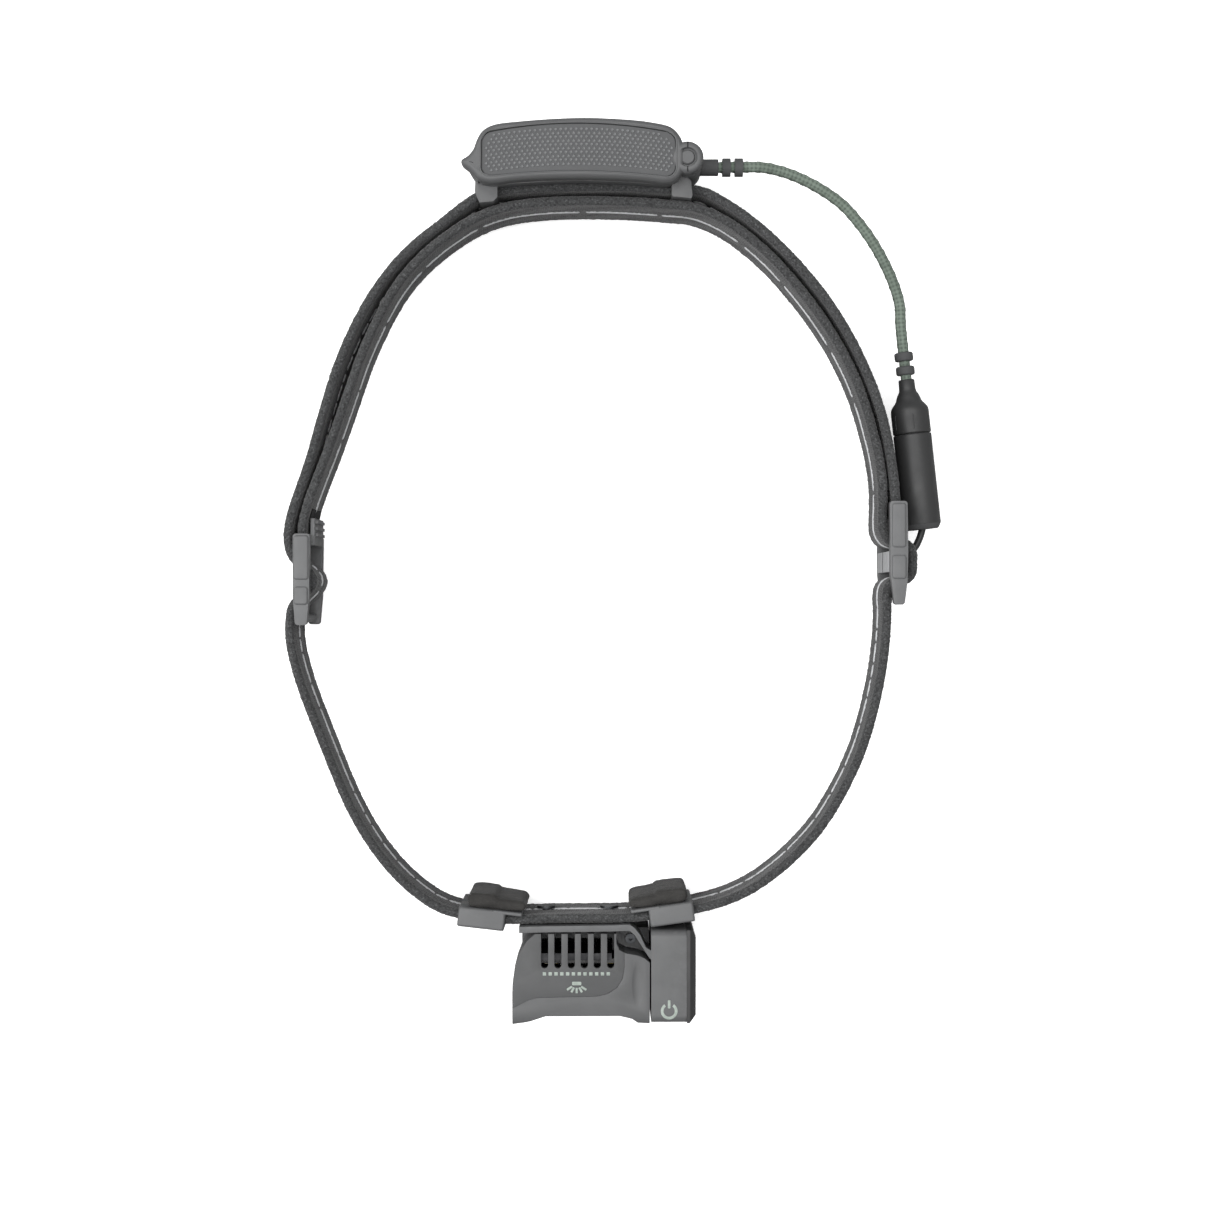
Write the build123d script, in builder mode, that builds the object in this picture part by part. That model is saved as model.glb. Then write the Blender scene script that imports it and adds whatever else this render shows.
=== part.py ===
from build123d import *
import os
import math

# Headlamp: elastic headband loop, tilting twin-lens lamp head at the forehead,
# battery box at the back of the head, plug-in lead between them.
# Frame: origin at the centre of the headband opening at mid height of the band,
# +X to the wearer's left, +Y to the back of the head, +Z up.  The lamp shines to -Y.
# Millimetres.

os.makedirs("parts", exist_ok=True)

# ------------------------------------------------------------------ shared dimensions
BAND_T = 2.6          # webbing thickness
BAND_H = 25.0         # webbing height
Z_STAND = -17.0       # lowest plane of lamp and battery box
LAMP_TOP = 15.0
MID_Z = (LAMP_TOP + Z_STAND) / 2     # mid height of lamp and switch block
PIVOT_Y, PIVOT_Z = -109.5, -11.5     # lamp tilt axis, along X
EAR_X = -20.0         # bracket ear on the wearer's right of the lamp
RIVET_X = (-14.0, 4.0)

X_DIR = (1, 0, 0)
Y_DIR = (0, 1, 0)
CUT = Mode.SUBTRACT


# ------------------------------------------------------------------ helpers
def block(centre, size, mode=Mode.ADD):
    with Locations(centre):
        Box(*size, mode=mode)


def post(centre, radius, height, mode=Mode.ADD):
    """Upright cylinder."""
    with Locations(centre):
        Cylinder(radius, height, mode=mode)


def rod(centre, radius, length, direction, mode=Mode.ADD):
    """Cylinder lying along a direction."""
    with Locations(Plane(origin=centre, z_dir=direction)):
        Cylinder(radius, length, mode=mode)


def polygon(points):
    """Face for the sketch that calls it."""
    with BuildLine() as outline:
        Polyline(*points, close=True)
    make_face(outline.edges())


def prism(points, z0, z1, mode=Mode.ADD):
    """Upright prism from z0 to z1."""
    with BuildSketch(Plane.XY.offset(z0)) as plan:
        polygon(points)
    extrude(plan.sketch, amount=z1 - z0, mode=mode)


def revolve_profile(profile, plane, axis):
    """Full turn of a profile drawn on the plane."""
    with BuildSketch(plane) as half:
        polygon(profile)
    revolve(half.sketch, axis=axis)


def pivot_at(x):
    """Point on the lamp tilt axis."""
    return (x, PIVOT_Y, PIVOT_Z)


def catmull(points, step):
    """Points about a step apart on a centripetal Catmull-Rom curve (no loops in tight folds)."""
    def mirrored(end, neighbour):
        return (2 * end[0] - neighbour[0], 2 * end[1] - neighbour[1])

    def mix(a, b, ta, tb, t):
        return tuple((tb - t) / (tb - ta) * a[c] + (t - ta) / (tb - ta) * b[c] for c in (0, 1))

    ends = [mirrored(points[0], points[1]), *points, mirrored(points[-1], points[-2])]
    out = []
    for p0, p1, p2, p3 in zip(ends, ends[1:], ends[2:], ends[3:]):
        span = math.dist(p1, p2)
        t0 = 0.0
        t1 = t0 + math.dist(p0, p1) ** 0.5
        t2 = t1 + span ** 0.5
        t3 = t2 + math.dist(p2, p3) ** 0.5
        count = max(1, int(round(span / step)))
        for j in range(count):
            t = t1 + (t2 - t1) * j / count
            a1 = mix(p0, p1, t0, t1, t)
            a2 = mix(p1, p2, t1, t2, t)
            a3 = mix(p2, p3, t2, t3, t)
            b1 = mix(a1, a2, t0, t2, t)
            b2 = mix(a2, a3, t1, t3, t)
            out.append(mix(b1, b2, t1, t2, t))
    out.append(tuple(points[-1]))
    return out


def shifted(path, distance):
    """The path moved sideways to its left."""
    out = []
    for i, (x, y) in enumerate(path):
        before = path[max(i - 1, 0)]
        after = path[min(i + 1, len(path) - 1)]
        dx, dy = after[0] - before[0], after[1] - before[1]
        length = math.hypot(dx, dy)
        out.append((x - dy / length * distance, y + dx / length * distance))
    return out


def ribbon_outline(path, half):
    return shifted(path, half) + shifted(path, -half)[::-1]


def nearest(path, point):
    """Index of the path point nearest to the given one."""
    return min(range(len(path)), key=lambda i: math.dist(path[i], point))


# ------------------------------------------------------------------ headband
# One webbing runs one and a half turns: sewn at the left-hand adjuster (+X),
# round the back through the battery box keepers, through the other adjuster,
# across the forehead, back through the first adjuster and round the back again.
# Centre line of the webbing, (x, y).
BAND_PATH = [
    (84.75, 13.0), (84.4, 17.0), (83.9, 22.5), (83.0, 29.0), (81.6, 36.5), (79.3, 44.8),
    (76.4, 52.4), (72.9, 60.0), (68.8, 67.3), (63.9, 74.5), (58.3, 81.4), (52.1, 88.0),
    (45.3, 94.1), (37.6, 99.6), (29.6, 103.6), (22.0, 104.0), (10.0, 104.6), (-3.0, 104.8),
    (-15.0, 104.5), (-26.0, 103.6), (-31.0, 102.9), (-36.6, 99.6), (-42.9, 94.6), (-50.1, 89.0),
    (-56.4, 82.6), (-61.8, 75.4), (-66.3, 67.7), (-70.0, 59.9), (-73.0, 52.1), (-75.4, 44.3),
    (-77.6, 36.8), (-79.6, 29.5), (-82.0, 22.3), (-84.5, 15.1), (-85.9, 9.5), (-86.1, 5.0),
    (-84.8, 1.0), (-82.0, -1.9), (-79.7, -4.0), (-79.1, -5.8), (-79.7, -7.6), (-82.0, -10.0),
    (-84.8, -13.0), (-85.6, -16.5), (-85.5, -22.8), (-83.8, -30.6), (-81.3, -38.3),
    (-78.4, -45.8), (-75.4, -53.4), (-72.2, -61.4), (-68.5, -69.6), (-64.0, -77.6),
    (-58.5, -85.2), (-51.9, -91.9), (-44.3, -97.2), (-38.1, -99.3), (-31.6, -100.3),
    (-24.9, -100.8), (-12.6, -100.6), (-2.8, -100.5), (7.0, -100.4), (15.4, -99.8),
    (26.6, -98.2), (36.3, -95.7), (44.4, -92.0), (51.6, -86.9), (58.1, -80.9), (63.8, -74.2),
    (68.4, -66.9), (72.3, -59.3), (75.4, -51.6), (77.7, -43.8), (79.5, -36.2), (80.8, -28.6),
    (81.6, -21.2), (81.9, -14.0), (81.75, -9.6), (82.5, -7.0), (85.0, -5.7), (87.6, -5.3),
    (89.0, -3.4), (89.1, -0.4), (89.0, 2.4), (87.6, 4.4), (85.0, 4.8), (82.4, 5.6),
    (80.9, 7.9), (80.6, 11.0), (80.75, 16.0), (80.6, 22.0), (79.6, 29.2), (77.9, 36.3),
    (75.8, 43.6), (73.1, 50.9), (69.7, 58.0), (65.6, 65.0), (60.9, 71.8), (55.6, 78.4),
    (49.8, 84.8), (43.3, 90.6), (36.0, 95.6), (28.0, 98.9), (20.0, 99.8), (8.0, 100.6),
    (-3.0, 100.8), (-15.0, 100.4), (-25.5, 98.9), (-33.6, 96.0), (-41.2, 91.3), (-48.0, 85.8),
    (-53.9, 79.4), (-58.7, 72.0), (-62.5, 64.4), (-65.8, 56.8), (-68.4, 49.4), (-70.9, 42.2),
    (-73.3, 35.3), (-75.8, 28.6), (-78.4, 21.9), (-80.8, 15.1), (-82.0, 10.0), (-82.15, 5.6),
]
band_line = catmull(BAND_PATH, step=2.2)

# stretch of webbing that hides the flat lead, from switch block to socket
LEAD_BLOCK_END = (23.0, -98.8)
LEAD_SOCKET_END = (89.1, 1.5)
lead_line = band_line[nearest(band_line, LEAD_BLOCK_END):nearest(band_line, LEAD_SOCKET_END) + 1]
LEAD_T, LEAD_H = 0.8, 5.2
POCKET_T, POCKET_H = 1.2, 6.0

with BuildPart() as headband_strap:
    prism(ribbon_outline(band_line, BAND_T / 2), -BAND_H / 2, BAND_H / 2)
    prism(ribbon_outline(lead_line, POCKET_T / 2), -POCKET_H / 2, POCKET_H / 2, CUT)
    # windows towards the socket and towards the switch block
    block((90.0, 1.2, 0), (2.6, 3.4, POCKET_H), CUT)
    block((24.0, -100.2, 0), (5.0, 3.0, POCKET_H), CUT)
    for x in RIVET_X:
        rod((x, -104.0, 0), 1.6, 12.0, Y_DIR, CUT)

# ------------------------------------------------------------------ lamp lead
# bent ends of the lead: (centre, size)
LEAD_ENDS = [
    ((89.9, 1.3, 0), (1.7, 1.8, LEAD_H)),      # three at the socket
    ((92.5, 2.7, 0), (3.8, 1.8, 2.8)),
    ((93.6, 6.2, 0), (1.6, 8.8, 2.8)),
    ((24.4, -99.5, 0), (3.0, 1.3, LEAD_H)),    # two at the switch block
    ((23.6, -102.0, 0), (2.0, 4.2, LEAD_H)),
]

with BuildPart() as lamp_lead:
    prism(ribbon_outline(lead_line[1:-1], LEAD_T / 2), -LEAD_H / 2, LEAD_H / 2)
    for centre, size in LEAD_ENDS:
        block(centre, size)

# ------------------------------------------------------------------ adjusters
RAIL_Z = (14.4, -14.4)      # mid heights of the two rails of each adjuster
RAIL_H = 3.2
BAR_H = 26.4                # bars between the rails
SLIT_H = 25.4               # slit for a sewn webbing end
RAIL_CORNER = 0.9

# rail outlines, (x, y)
RIGHT_RAIL = [(-84.2, 7.3), (-84.2, -10.0), (-83.6, -18.2), (-80.4, -18.2), (-79.7, -10.0),
              (-79.5, 7.3)]
LEFT_RAIL = [(82.2, 16.4), (87.1, 16.4), (87.3, 2.0), (87.1, -6.0), (86.3, -12.5),
             (83.4, -12.5), (82.4, -4.0)]


def rails(outline):
    for z in RAIL_Z:
        prism(outline, z - RAIL_H / 2, z + RAIL_H / 2)


with BuildPart() as strap_adjuster_right:
    rails(RIGHT_RAIL)
    fillet(strap_adjuster_right.edges().filter_by(Axis.Z), RAIL_CORNER)
    post((-83.0, -5.8, 0), 1.1, BAR_H)
    post((-82.2, -16.3, 0), 1.2, BAR_H)
    # rear post with a slit that holds the sewn webbing end
    block((-81.97, 5.75, 0), (4.25, 3.1, BAR_H))
    block((-82.15, 6.6, 0), (3.05, 3.2, SLIT_H), CUT)
    # thumb tab with ribs on the head side
    block((-79.45, 8.0, 0), (1.1, 7.6, 20.0))
    for y in (7.2, 9.0, 10.8):
        block((-78.7, y, 0), (0.9, 0.8, 16.0))

with BuildPart() as strap_adjuster_left:
    rails(LEFT_RAIL)
    fillet(strap_adjuster_left.edges().filter_by(Axis.Z), RAIL_CORNER)
    post((84.9, -9.6, 0), 1.15, BAR_H)
    # wide middle bar, its free edges between the rails rounded
    block((84.7, -0.45, 0), (4.6, 6.0, BAR_H))
    rail_gap = RAIL_Z[0] - RAIL_Z[1] - RAIL_H
    upright_edges = strap_adjuster_left.edges().filter_by(Axis.Z)
    fillet(upright_edges.filter_by(lambda e: abs(e.length - rail_gap) < 0.3), RAIL_CORNER)
    # rear post with its slit
    block((84.75, 14.2, 0), (4.5, 4.2, BAR_H))
    block((84.55, 14.6, 0), (3.3, 3.7, SLIT_H), CUT)

# ------------------------------------------------------------------ bracket and switch block
BLOCK_X0 = 15.7                        # side towards the lamp
BLOCK_X1 = 25.6                        # open side, where the end cap starts
CAP_X = 28.2                           # outer face of the end cap
BLOCK_BACK_Y, BLOCK_FRONT_Y = -103.4, -129.3
BLOCK_MID_Y = (BLOCK_BACK_Y + BLOCK_FRONT_Y) / 2
CAP_SCREWS = ((-106.4, 11.2), (-126.0, -12.6), (-106.4, -12.6), (-126.0, 11.2))    # (y, z)
BUTTON_Y = -116.4

PLATE_LINE = [(-21.2, -103.35), (-16.0, -103.2), (-3.0, -103.0), (5.0, -102.9), (9.0, -102.7)]
PLATE_T = 1.7
ARM_PLAN = [(7.6, -101.9), (9.8, -101.9), (11.2, -102.9), (12.6, -104.7), (14.2, -108.2),
            (15.4, -109.0), (16.5, -109.2), (16.5, -112.0), (15.4, -111.4), (14.6, -110.3),
            (11.2, -104.9), (9.8, -103.6), (7.6, -103.6)]
BLOCK_PLAN = [(BLOCK_X0, BLOCK_BACK_Y), (BLOCK_X1, BLOCK_BACK_Y), (BLOCK_X1, BLOCK_FRONT_Y),
              (BLOCK_X0, BLOCK_FRONT_Y)]

with BuildPart() as lamp_bracket:
    # plate behind the lamp, following the band, and slanting arm into the block
    prism(ribbon_outline(catmull(PLATE_LINE, step=2.0), PLATE_T / 2), -14.0, 14.6)
    prism(ARM_PLAN, 3.3, 14.6)
    # block: open box, its outer end closed by the end cap
    prism(BLOCK_PLAN, Z_STAND, LAMP_TOP)
    block_edges = lamp_bracket.edges().filter_by(Axis.X).filter_by(
        lambda e: e.center().X > 20 and abs(e.length - (BLOCK_X1 - BLOCK_X0)) < 0.1)
    fillet(block_edges, 2.2)
    block((21.2, BLOCK_MID_Y, MID_Z), (8.9, 22.7, 28.6), CUT)
    # bosses for the end cap screws
    for y, z in CAP_SCREWS:
        rod((20.2, y, z), 1.6, 7.4, X_DIR)
        rod((22.6, y, z), 0.8, 6.0, X_DIR, CUT)
    # lead entry in the back wall of the block
    block((23.6, -103.4, 0), (2.8, 4.6, 5.6), CUT)
    # pivot hole towards the lamp, over a thickened boss
    rod(pivot_at(17.2), 4.3, 2.6, X_DIR)
    rod(pivot_at(17.2), 2.56, 9.0, X_DIR, CUT)
    # ear on the far side of the lamp
    rod(pivot_at(EAR_X), 5.0, 2.2, X_DIR)
    block((EAR_X, -106.2, -11.5), (2.2, 6.6, 10.0))
    block((EAR_X, -103.2, -13.0), (2.2, 1.6, 7.0))
    rod(pivot_at(EAR_X), 1.56, 8.0, X_DIR, CUT)
    for x in RIVET_X:
        rod((x, -103.5, 0), 1.35, 8.0, Y_DIR, CUT)
    # recess for the head of the pivot screw
    rod(pivot_at(EAR_X - 0.9), 2.6, 1.5, X_DIR, CUT)

# rivets: head on the wearer's side, shank forward through webbing and plate
RIVET_BACK_Y = -98.3
with BuildPart() as bracket_rivets:
    for x in RIVET_X:
        for radius, length in ((1.3, 5.55), (2.6, 0.7)):
            rod((x, RIVET_BACK_Y - length / 2, 0), radius, length, Y_DIR)

CAP_START_X = BLOCK_X1 + 0.05
CAP_PLAN = [(CAP_START_X, BLOCK_BACK_Y), (27.2, BLOCK_BACK_Y), (CAP_X, -105.6), (CAP_X, -127.2),
            (26.4, BLOCK_FRONT_Y), (CAP_START_X, BLOCK_FRONT_Y)]

with BuildPart() as block_end_cap:
    prism(CAP_PLAN, Z_STAND, LAMP_TOP)
    # top and bottom edges of the outer face
    chamfer(block_end_cap.edges().filter_by(
        lambda e: e.center().X > 27.9 and abs(abs(e.center().Z - MID_Z) - 16) < 0.1), 1.6)
    # button well
    rod((27.0, BUTTON_Y, MID_Z), 6.3, 6.0, X_DIR, CUT)
    # register that enters the block
    with BuildSketch(Plane(origin=(BLOCK_X1 + 0.1, BLOCK_MID_Y, MID_Z),
                           x_dir=(0, 1, 0), z_dir=(-1, 0, 0))):
        Rectangle(22.4, 28.3)
        Rectangle(20.4, 26.3, mode=CUT)
    extrude(amount=1.6)
    # screw bores and head pockets
    for y, z in CAP_SCREWS:
        rod((26.5, y, z), 0.8, 6.0, X_DIR, CUT)
        rod((28.6, y, z), 1.4, 2.2, X_DIR, CUT)

with BuildPart() as power_button:
    rod((27.25, BUTTON_Y, MID_Z), 6.0, 2.1, X_DIR)
    fillet(power_button.edges().filter_by(GeomType.CIRCLE).sort_by(Axis.X)[-1], 0.6)
    # shallow dish outside, stem inside
    rod((28.4, BUTTON_Y, MID_Z), 4.2, 0.6, X_DIR, CUT)
    rod((25.2, BUTTON_Y, MID_Z), 1.4, 2.4, X_DIR)

with BuildPart() as button_membrane:
    rod((24.65, BUTTON_Y, MID_Z), 9.0, 0.5, X_DIR)
    rod((24.65, BUTTON_Y, MID_Z), 1.7, 2.0, X_DIR, CUT)

with BuildPart() as tact_switch:
    block((21.25, BUTTON_Y, MID_Z), (2.0, 6.0, 6.0))
    rod((22.5, BUTTON_Y, MID_Z), 1.3, 0.7, X_DIR)

BOARD_X = 19.6
with BuildPart() as driver_board:
    block((BOARD_X, -116.3, MID_Z), (1.2, 17.0, 21.0))
    # components
    block((20.6, -109.6, 4.5), (1.0, 4.0, 5.0))
    block((20.7, -121.4, 5.5), (1.2, 5.0, 5.0))
    block((20.5, -122.0, -6.5), (0.8, 3.0, 3.0))
    # clearance round the pivot
    rod(pivot_at(BOARD_X), 3.6, 4.0, X_DIR, CUT)

with BuildPart() as end_cap_screws:
    for y, z in CAP_SCREWS:
        rod((25.2, y, z), 0.75, 5.2, X_DIR)
        rod((27.85, y, z), 1.3, 0.6, X_DIR)

# ------------------------------------------------------------------ band clips and forehead pads
RIGHT_CLIP = (-31.6, -100.2)
LEFT_CLIP = (21.6, -98.9)
CLIP_H = 29.2
CLIP_T = 5.6
PAD_H = 27.0
front_band = [p for p in band_line if p[1] < -90.0]

# pad outline: (distance along the band towards the middle, distance towards the head)
PAD_PLAN = [(-4.9, 2.9), (-4.4, 6.9), (3.2, 6.9), (4.0, 6.6), (11.8, 6.6), (12.4, 3.1), (3.0, 2.9)]


def band_plane(near, z):
    """Level plane on the band: local x along the band to the left, local y towards the head."""
    i = nearest(band_line, near)
    before, after = band_line[i - 1], band_line[i + 1]
    return Plane(origin=(*band_line[i], z),
                 x_dir=(after[0] - before[0], after[1] - before[1], 0), z_dir=(0, 0, 1))


def band_clip(near, width, inward):
    """Sleeve round the band with a tongue towards the middle; inward is the sign of that way."""
    with BuildPart() as clip:
        with BuildSketch(band_plane(near, -CLIP_H / 2)):
            Rectangle(width, CLIP_T)
            with Locations((inward * 7.2, 2.35)):
                Rectangle(8.0, 0.9)
        extrude(amount=CLIP_H)
        prism(ribbon_outline(front_band, BAND_T / 2 + 0.3), -12.9, 12.9, CUT)
    return clip


def forehead_pad(near, inward):
    with BuildPart() as pad:
        with BuildSketch(band_plane(near, -PAD_H / 2)):
            polygon([(inward * x, y) for x, y in PAD_PLAN])
        extrude(amount=PAD_H)
        fillet(pad.edges().filter_by(Axis.Z), 0.7)
    return pad


band_clip_right = band_clip(RIGHT_CLIP, 13.2, 1)
band_clip_left = band_clip(LEFT_CLIP, 12.6, -1)
with band_clip_left:
    # passage for the lead
    block((24.3, -101.3, 0), (3.8, 3.6, 5.8), CUT)

forehead_pad_right = forehead_pad(RIGHT_CLIP, 1)
forehead_pad_left = forehead_pad(LEFT_CLIP, -1)

# ------------------------------------------------------------------ lamp head
FLOOD_X, SPOT_X = -12.7, 5.1           # optical axes
LENS_Z = MID_Z
LENS_R = 7.7
LAMP_X = (FLOOD_X + SPOT_X) / 2
KNUCKLE_R = 5.1                        # rounding of the housing about the tilt axis
LAMP_BACK_Y = PIVOT_Y + KNUCKLE_R
TOP_SCREW = (10.0, -107.4)             # (x, y)
UNDER_SCREWS = ((-17.0, -121.3), (10.0, -121.3))

# plan outlines, (x, y)
BODY_PLAN = [(-16.7, LAMP_BACK_Y), (-19.0, -106.4), (-20.9, -109.3), (-22.3, -113.0),
             (-23.0, -118.0), (-23.1, -121.0), (-23.1, -129.9), (-18.1, -128.9), (-13.9, -127.4),
             (7.0, -127.3), (10.3, -128.1), (12.0, -129.3), (15.3, -129.5), (15.3, LAMP_BACK_Y)]
CAVITY_FRONT = [(-15.6, -106.8), (-17.4, -109.0), (-17.4, -115.6), (-21.3, -118.5),
                (-21.3, -123.2), (13.5, -123.2)]
CAVITY_PLAN = CAVITY_FRONT + [(13.5, -113.6), (9.0, -111.6), (4.9, -110.0), (4.9, -106.8)]
CAVITY_LOW = CAVITY_FRONT + [(13.5, -106.8)]
COVER_PLAN = [(-26.0, -101.0), (-26.0, -125.6), (-23.1, -125.3), (-20.9, -124.1),
              (-18.5, -122.9), (-16.0, -122.2), (-9.8, -122.0), (0.6, -121.8), (3.6, -121.1),
              (6.2, -119.4), (7.7, -116.9), (8.2, -114.0), (8.3, -101.0)]
SHOULDER_NOTCH = [(6.0, -103.0), (6.0, -107.0), (6.8, -108.9), (8.6, -109.8), (12.2, -110.5),
                  (14.0, -111.3), (15.6, -112.7), (16.5, -112.9), (16.5, -103.0)]
COVER_Z = 6.0                          # underside of the top cover
COVER_GAP = 0.06
VENT_X = (-14.05, -10.35, -6.6, -2.95, 0.65, 4.4)


def lamp_blank():
    """Outer form of the lamp head: its plan, trimmed by its side view."""
    prism(BODY_PLAN, Z_STAND, LAMP_TOP)
    slant = KNUCKLE_R * math.cos(math.radians(45))
    with BuildSketch(Plane.YZ) as side:
        with BuildLine():
            Line((LAMP_BACK_Y, LAMP_TOP), (LAMP_BACK_Y, PIVOT_Z))
            ThreePointArc((LAMP_BACK_Y, PIVOT_Z), (PIVOT_Y + slant, PIVOT_Z - slant),
                          (PIVOT_Y, PIVOT_Z - KNUCKLE_R))
            Polyline((PIVOT_Y, PIVOT_Z - KNUCKLE_R), (-112.0, Z_STAND), (-127.2, Z_STAND),
                     (-130.2, -14.0), (-130.2, 12.6), (-129.2, 14.4), (-127.6, LAMP_TOP),
                     (LAMP_BACK_Y, LAMP_TOP))
        make_face()
    extrude(side.sketch, amount=40, both=True, mode=Mode.INTERSECT)


def cut_front_opening():
    """Opening for the bezel."""
    block((LAMP_X, -127.0, MID_Z), (34.2, 8.2, 28.0), CUT)


with BuildPart() as lamp_housing:
    lamp_blank()
    prism(COVER_PLAN, COVER_Z, 16.0, CUT)
    prism(SHOULDER_NOTCH, 2.0, 16.0, CUT)
    prism(CAVITY_PLAN, 0.0, 13.0, CUT)
    prism(CAVITY_LOW, -14.6, 0.2, CUT)
    cut_front_opening()
    # pivot bore
    rod(pivot_at(14.5), 2.55, 4.0, X_DIR, CUT)
    # recess for the bracket ear
    rod(pivot_at(EAR_X - 1.7), 5.4, 6.0, X_DIR, CUT)
    block((EAR_X - 1.7, -106.4, -11.8), (6.0, 6.4, 11.4), CUT)
    block((EAR_X - 1.7, -109.4, -14.6), (6.0, 10.9, 6.2), CUT)
    # boss for the pivot screw
    rod(pivot_at(-17.05), 2.4, 3.2, X_DIR)
    rod(pivot_at(-17.6), 1.52, 8.0, X_DIR, CUT)
    # screw bores, those underneath with head pockets
    post((*TOP_SCREW, 2.0), 0.75, 6.0, CUT)
    for x, y in UNDER_SCREWS:
        post((x, y, -16.6), 0.75, 6.0, CUT)
        post((x, y, -16.9), 1.5, 1.8, CUT)

with BuildPart() as lamp_top_cover:
    lamp_blank()
    prism([(x + (COVER_GAP if x < 0 else -COVER_GAP), y + COVER_GAP) for x, y in COVER_PLAN],
          COVER_Z + COVER_GAP, 16.0, Mode.INTERSECT)
    prism(SHOULDER_NOTCH, 2.0, 16.0, CUT)
    prism(CAVITY_PLAN, 0.0, 13.0, CUT)
    cut_front_opening()
    # vent slots, open at the back
    for x in VENT_X:
        with BuildSketch(Plane.XY.offset(4.0)):
            with Locations((x, -108.4)):
                SlotOverall(11.2, 2.0, rotation=90)
            with Locations((x, -104.6)):
                Rectangle(2.0, 6.0)
        extrude(amount=14.0, mode=CUT)

with BuildPart() as front_bezel:
    block((LAMP_X, -125.3, MID_Z), (34.0, 2.6, 27.8))
    block((LAMP_X, -127.0, MID_Z), (3.4, 1.4, 20.0))
    # raised rings, then the lens holes
    for x in (FLOOD_X, SPOT_X):
        rod((x, -127.0, LENS_Z), 8.1, 1.2, Y_DIR)
    for x in (FLOOD_X, SPOT_X):
        rod((x, -125.3, LENS_Z), LENS_R + 0.05, 8.0, Y_DIR, CUT)

with BuildPart() as bezel_gasket:
    block((LAMP_X, -123.6, MID_Z), (33.6, 0.7, 27.4))
    block((LAMP_X, -123.6, MID_Z), (32.6, 2.0, 26.4), CUT)


def revolve_optic(x, profile):
    """Turn a profile of (radius, y) about the optical axis at x."""
    origin = (x, 0, LENS_Z)
    revolve_profile(profile, Plane(origin=origin, x_dir=(1, 0, 0), z_dir=(0, 0, 1)),
                    Axis(origin, Y_DIR))


def lens(x, bulge):
    back_y, rim_y = -124.6, -126.6
    dome = []
    for degrees in (0, 12, 24, 36, 48, 60, 72, 82):
        angle = math.radians(degrees)
        dome.append((LENS_R * math.cos(angle), rim_y - bulge * math.sin(angle)))
    with BuildPart() as piece:
        revolve_optic(x, [(0, back_y), (LENS_R, back_y), *dome, (0, rim_y - bulge)])
    return piece


def reflector(x, throat):
    """Open cone, throat radius at the LED."""
    with BuildPart() as piece:
        revolve_optic(x, [(throat, -114.6), (throat + 0.9, -114.6), (7.25, -122.8),
                          (7.25, -124.4), (6.6, -124.4), (6.6, -123.2), (throat, -115.6)])
    return piece


def led(x):
    """Square base with a small dome in front."""
    size = 3.4
    with BuildPart() as piece:
        block((x, -114.0, LENS_Z), (size, 0.8, size))
        revolve_optic(x, [(0, -114.2), (size * 0.4, -114.2), (size * 0.37, -114.6),
                          (size * 0.28, -114.95), (size * 0.15, -115.15), (0, -115.2)])
    return piece


spot_lens = lens(SPOT_X, bulge=1.4)
flood_lens = lens(FLOOD_X, bulge=0.6)
spot_reflector = reflector(SPOT_X, throat=2.6)
flood_reflector = reflector(FLOOD_X, throat=3.2)
spot_led = led(SPOT_X)
flood_led = led(FLOOD_X)

with BuildPart() as led_board:
    block((-3.2, -113.0, MID_Z), (27.0, 1.2, 18.0))
    for z in (4.0, -4.5):
        block((LAMP_X, -113.9, z), (2.4, 0.6, 1.6))

FIN_X0 = VENT_X[0] + 1.85
FIN_PITCH = 3.69
with BuildPart() as heat_sink:
    block((-5.9, -111.4, 1.0), (21.2, 2.0, 20.0))
    for i in range(5):
        block((FIN_X0 + i * FIN_PITCH, -109.0, 1.0), (1.1, 3.4, 20.0))

with BuildPart() as pivot_bush:
    rod(pivot_at(15.6), 2.5, 6.2, X_DIR)
    rod(pivot_at(15.6), 1.6, 12.0, X_DIR, CUT)

# two wires through the bush, each with a bend forward into the lamp
with BuildPart() as lamp_wires:
    for dz in (-0.72, 0.72):
        rod((14.0, PIVOT_Y, PIVOT_Z + dz), 0.6, 9.0, X_DIR)
        block((9.8, -111.2, PIVOT_Z + dz), (1.1, 4.6, 1.1))

with BuildPart() as pivot_screw:
    rod(pivot_at(EAR_X + 1.9), 1.48, 5.8, X_DIR)
    rod(pivot_at(EAR_X - 0.65), 2.5, 0.8, X_DIR)
    rod(pivot_at(EAR_X - 1.0), 0.9, 0.8, X_DIR, CUT)

with BuildPart() as housing_screws:
    post((*TOP_SCREW, 0.6), 0.7, 3.6)
    post((*TOP_SCREW, 2.65), 1.4, 1.2)
    post((*TOP_SCREW, 2.65), 0.55, 2.0, CUT)
    for x, y in UNDER_SCREWS:
        post((x, y, -15.2), 0.7, 2.0)
        post((x, y, -16.45), 1.35, 0.8)

# ------------------------------------------------------------------ battery box
BOX_TOP = 23.0              # top of the battery lid
LID_SPLIT = 17.6            # underside of the lid
BODY_TOP = 17.5             # top of the box under the lid
PIN_X, PIN_Y = 25.6, 110.9  # vertical lid pin
PIN_BORE_R = 2.06
LUG_R = 4.4
GLAND_Y, GLAND_Z = 111.2, 5.6
GASKET_Z = 16.7             # floor of the gasket rebate

# outer and inner runs of webbing behind the head
rear_outer_band = [p for p in band_line[:nearest(band_line, (-38.0, 98.5))] if p[1] > 100.0]
rear_inner_band = [p for p in band_line[nearest(band_line, (60.0, 72.5)) + 1:] if p[1] > 93.0]

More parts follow.
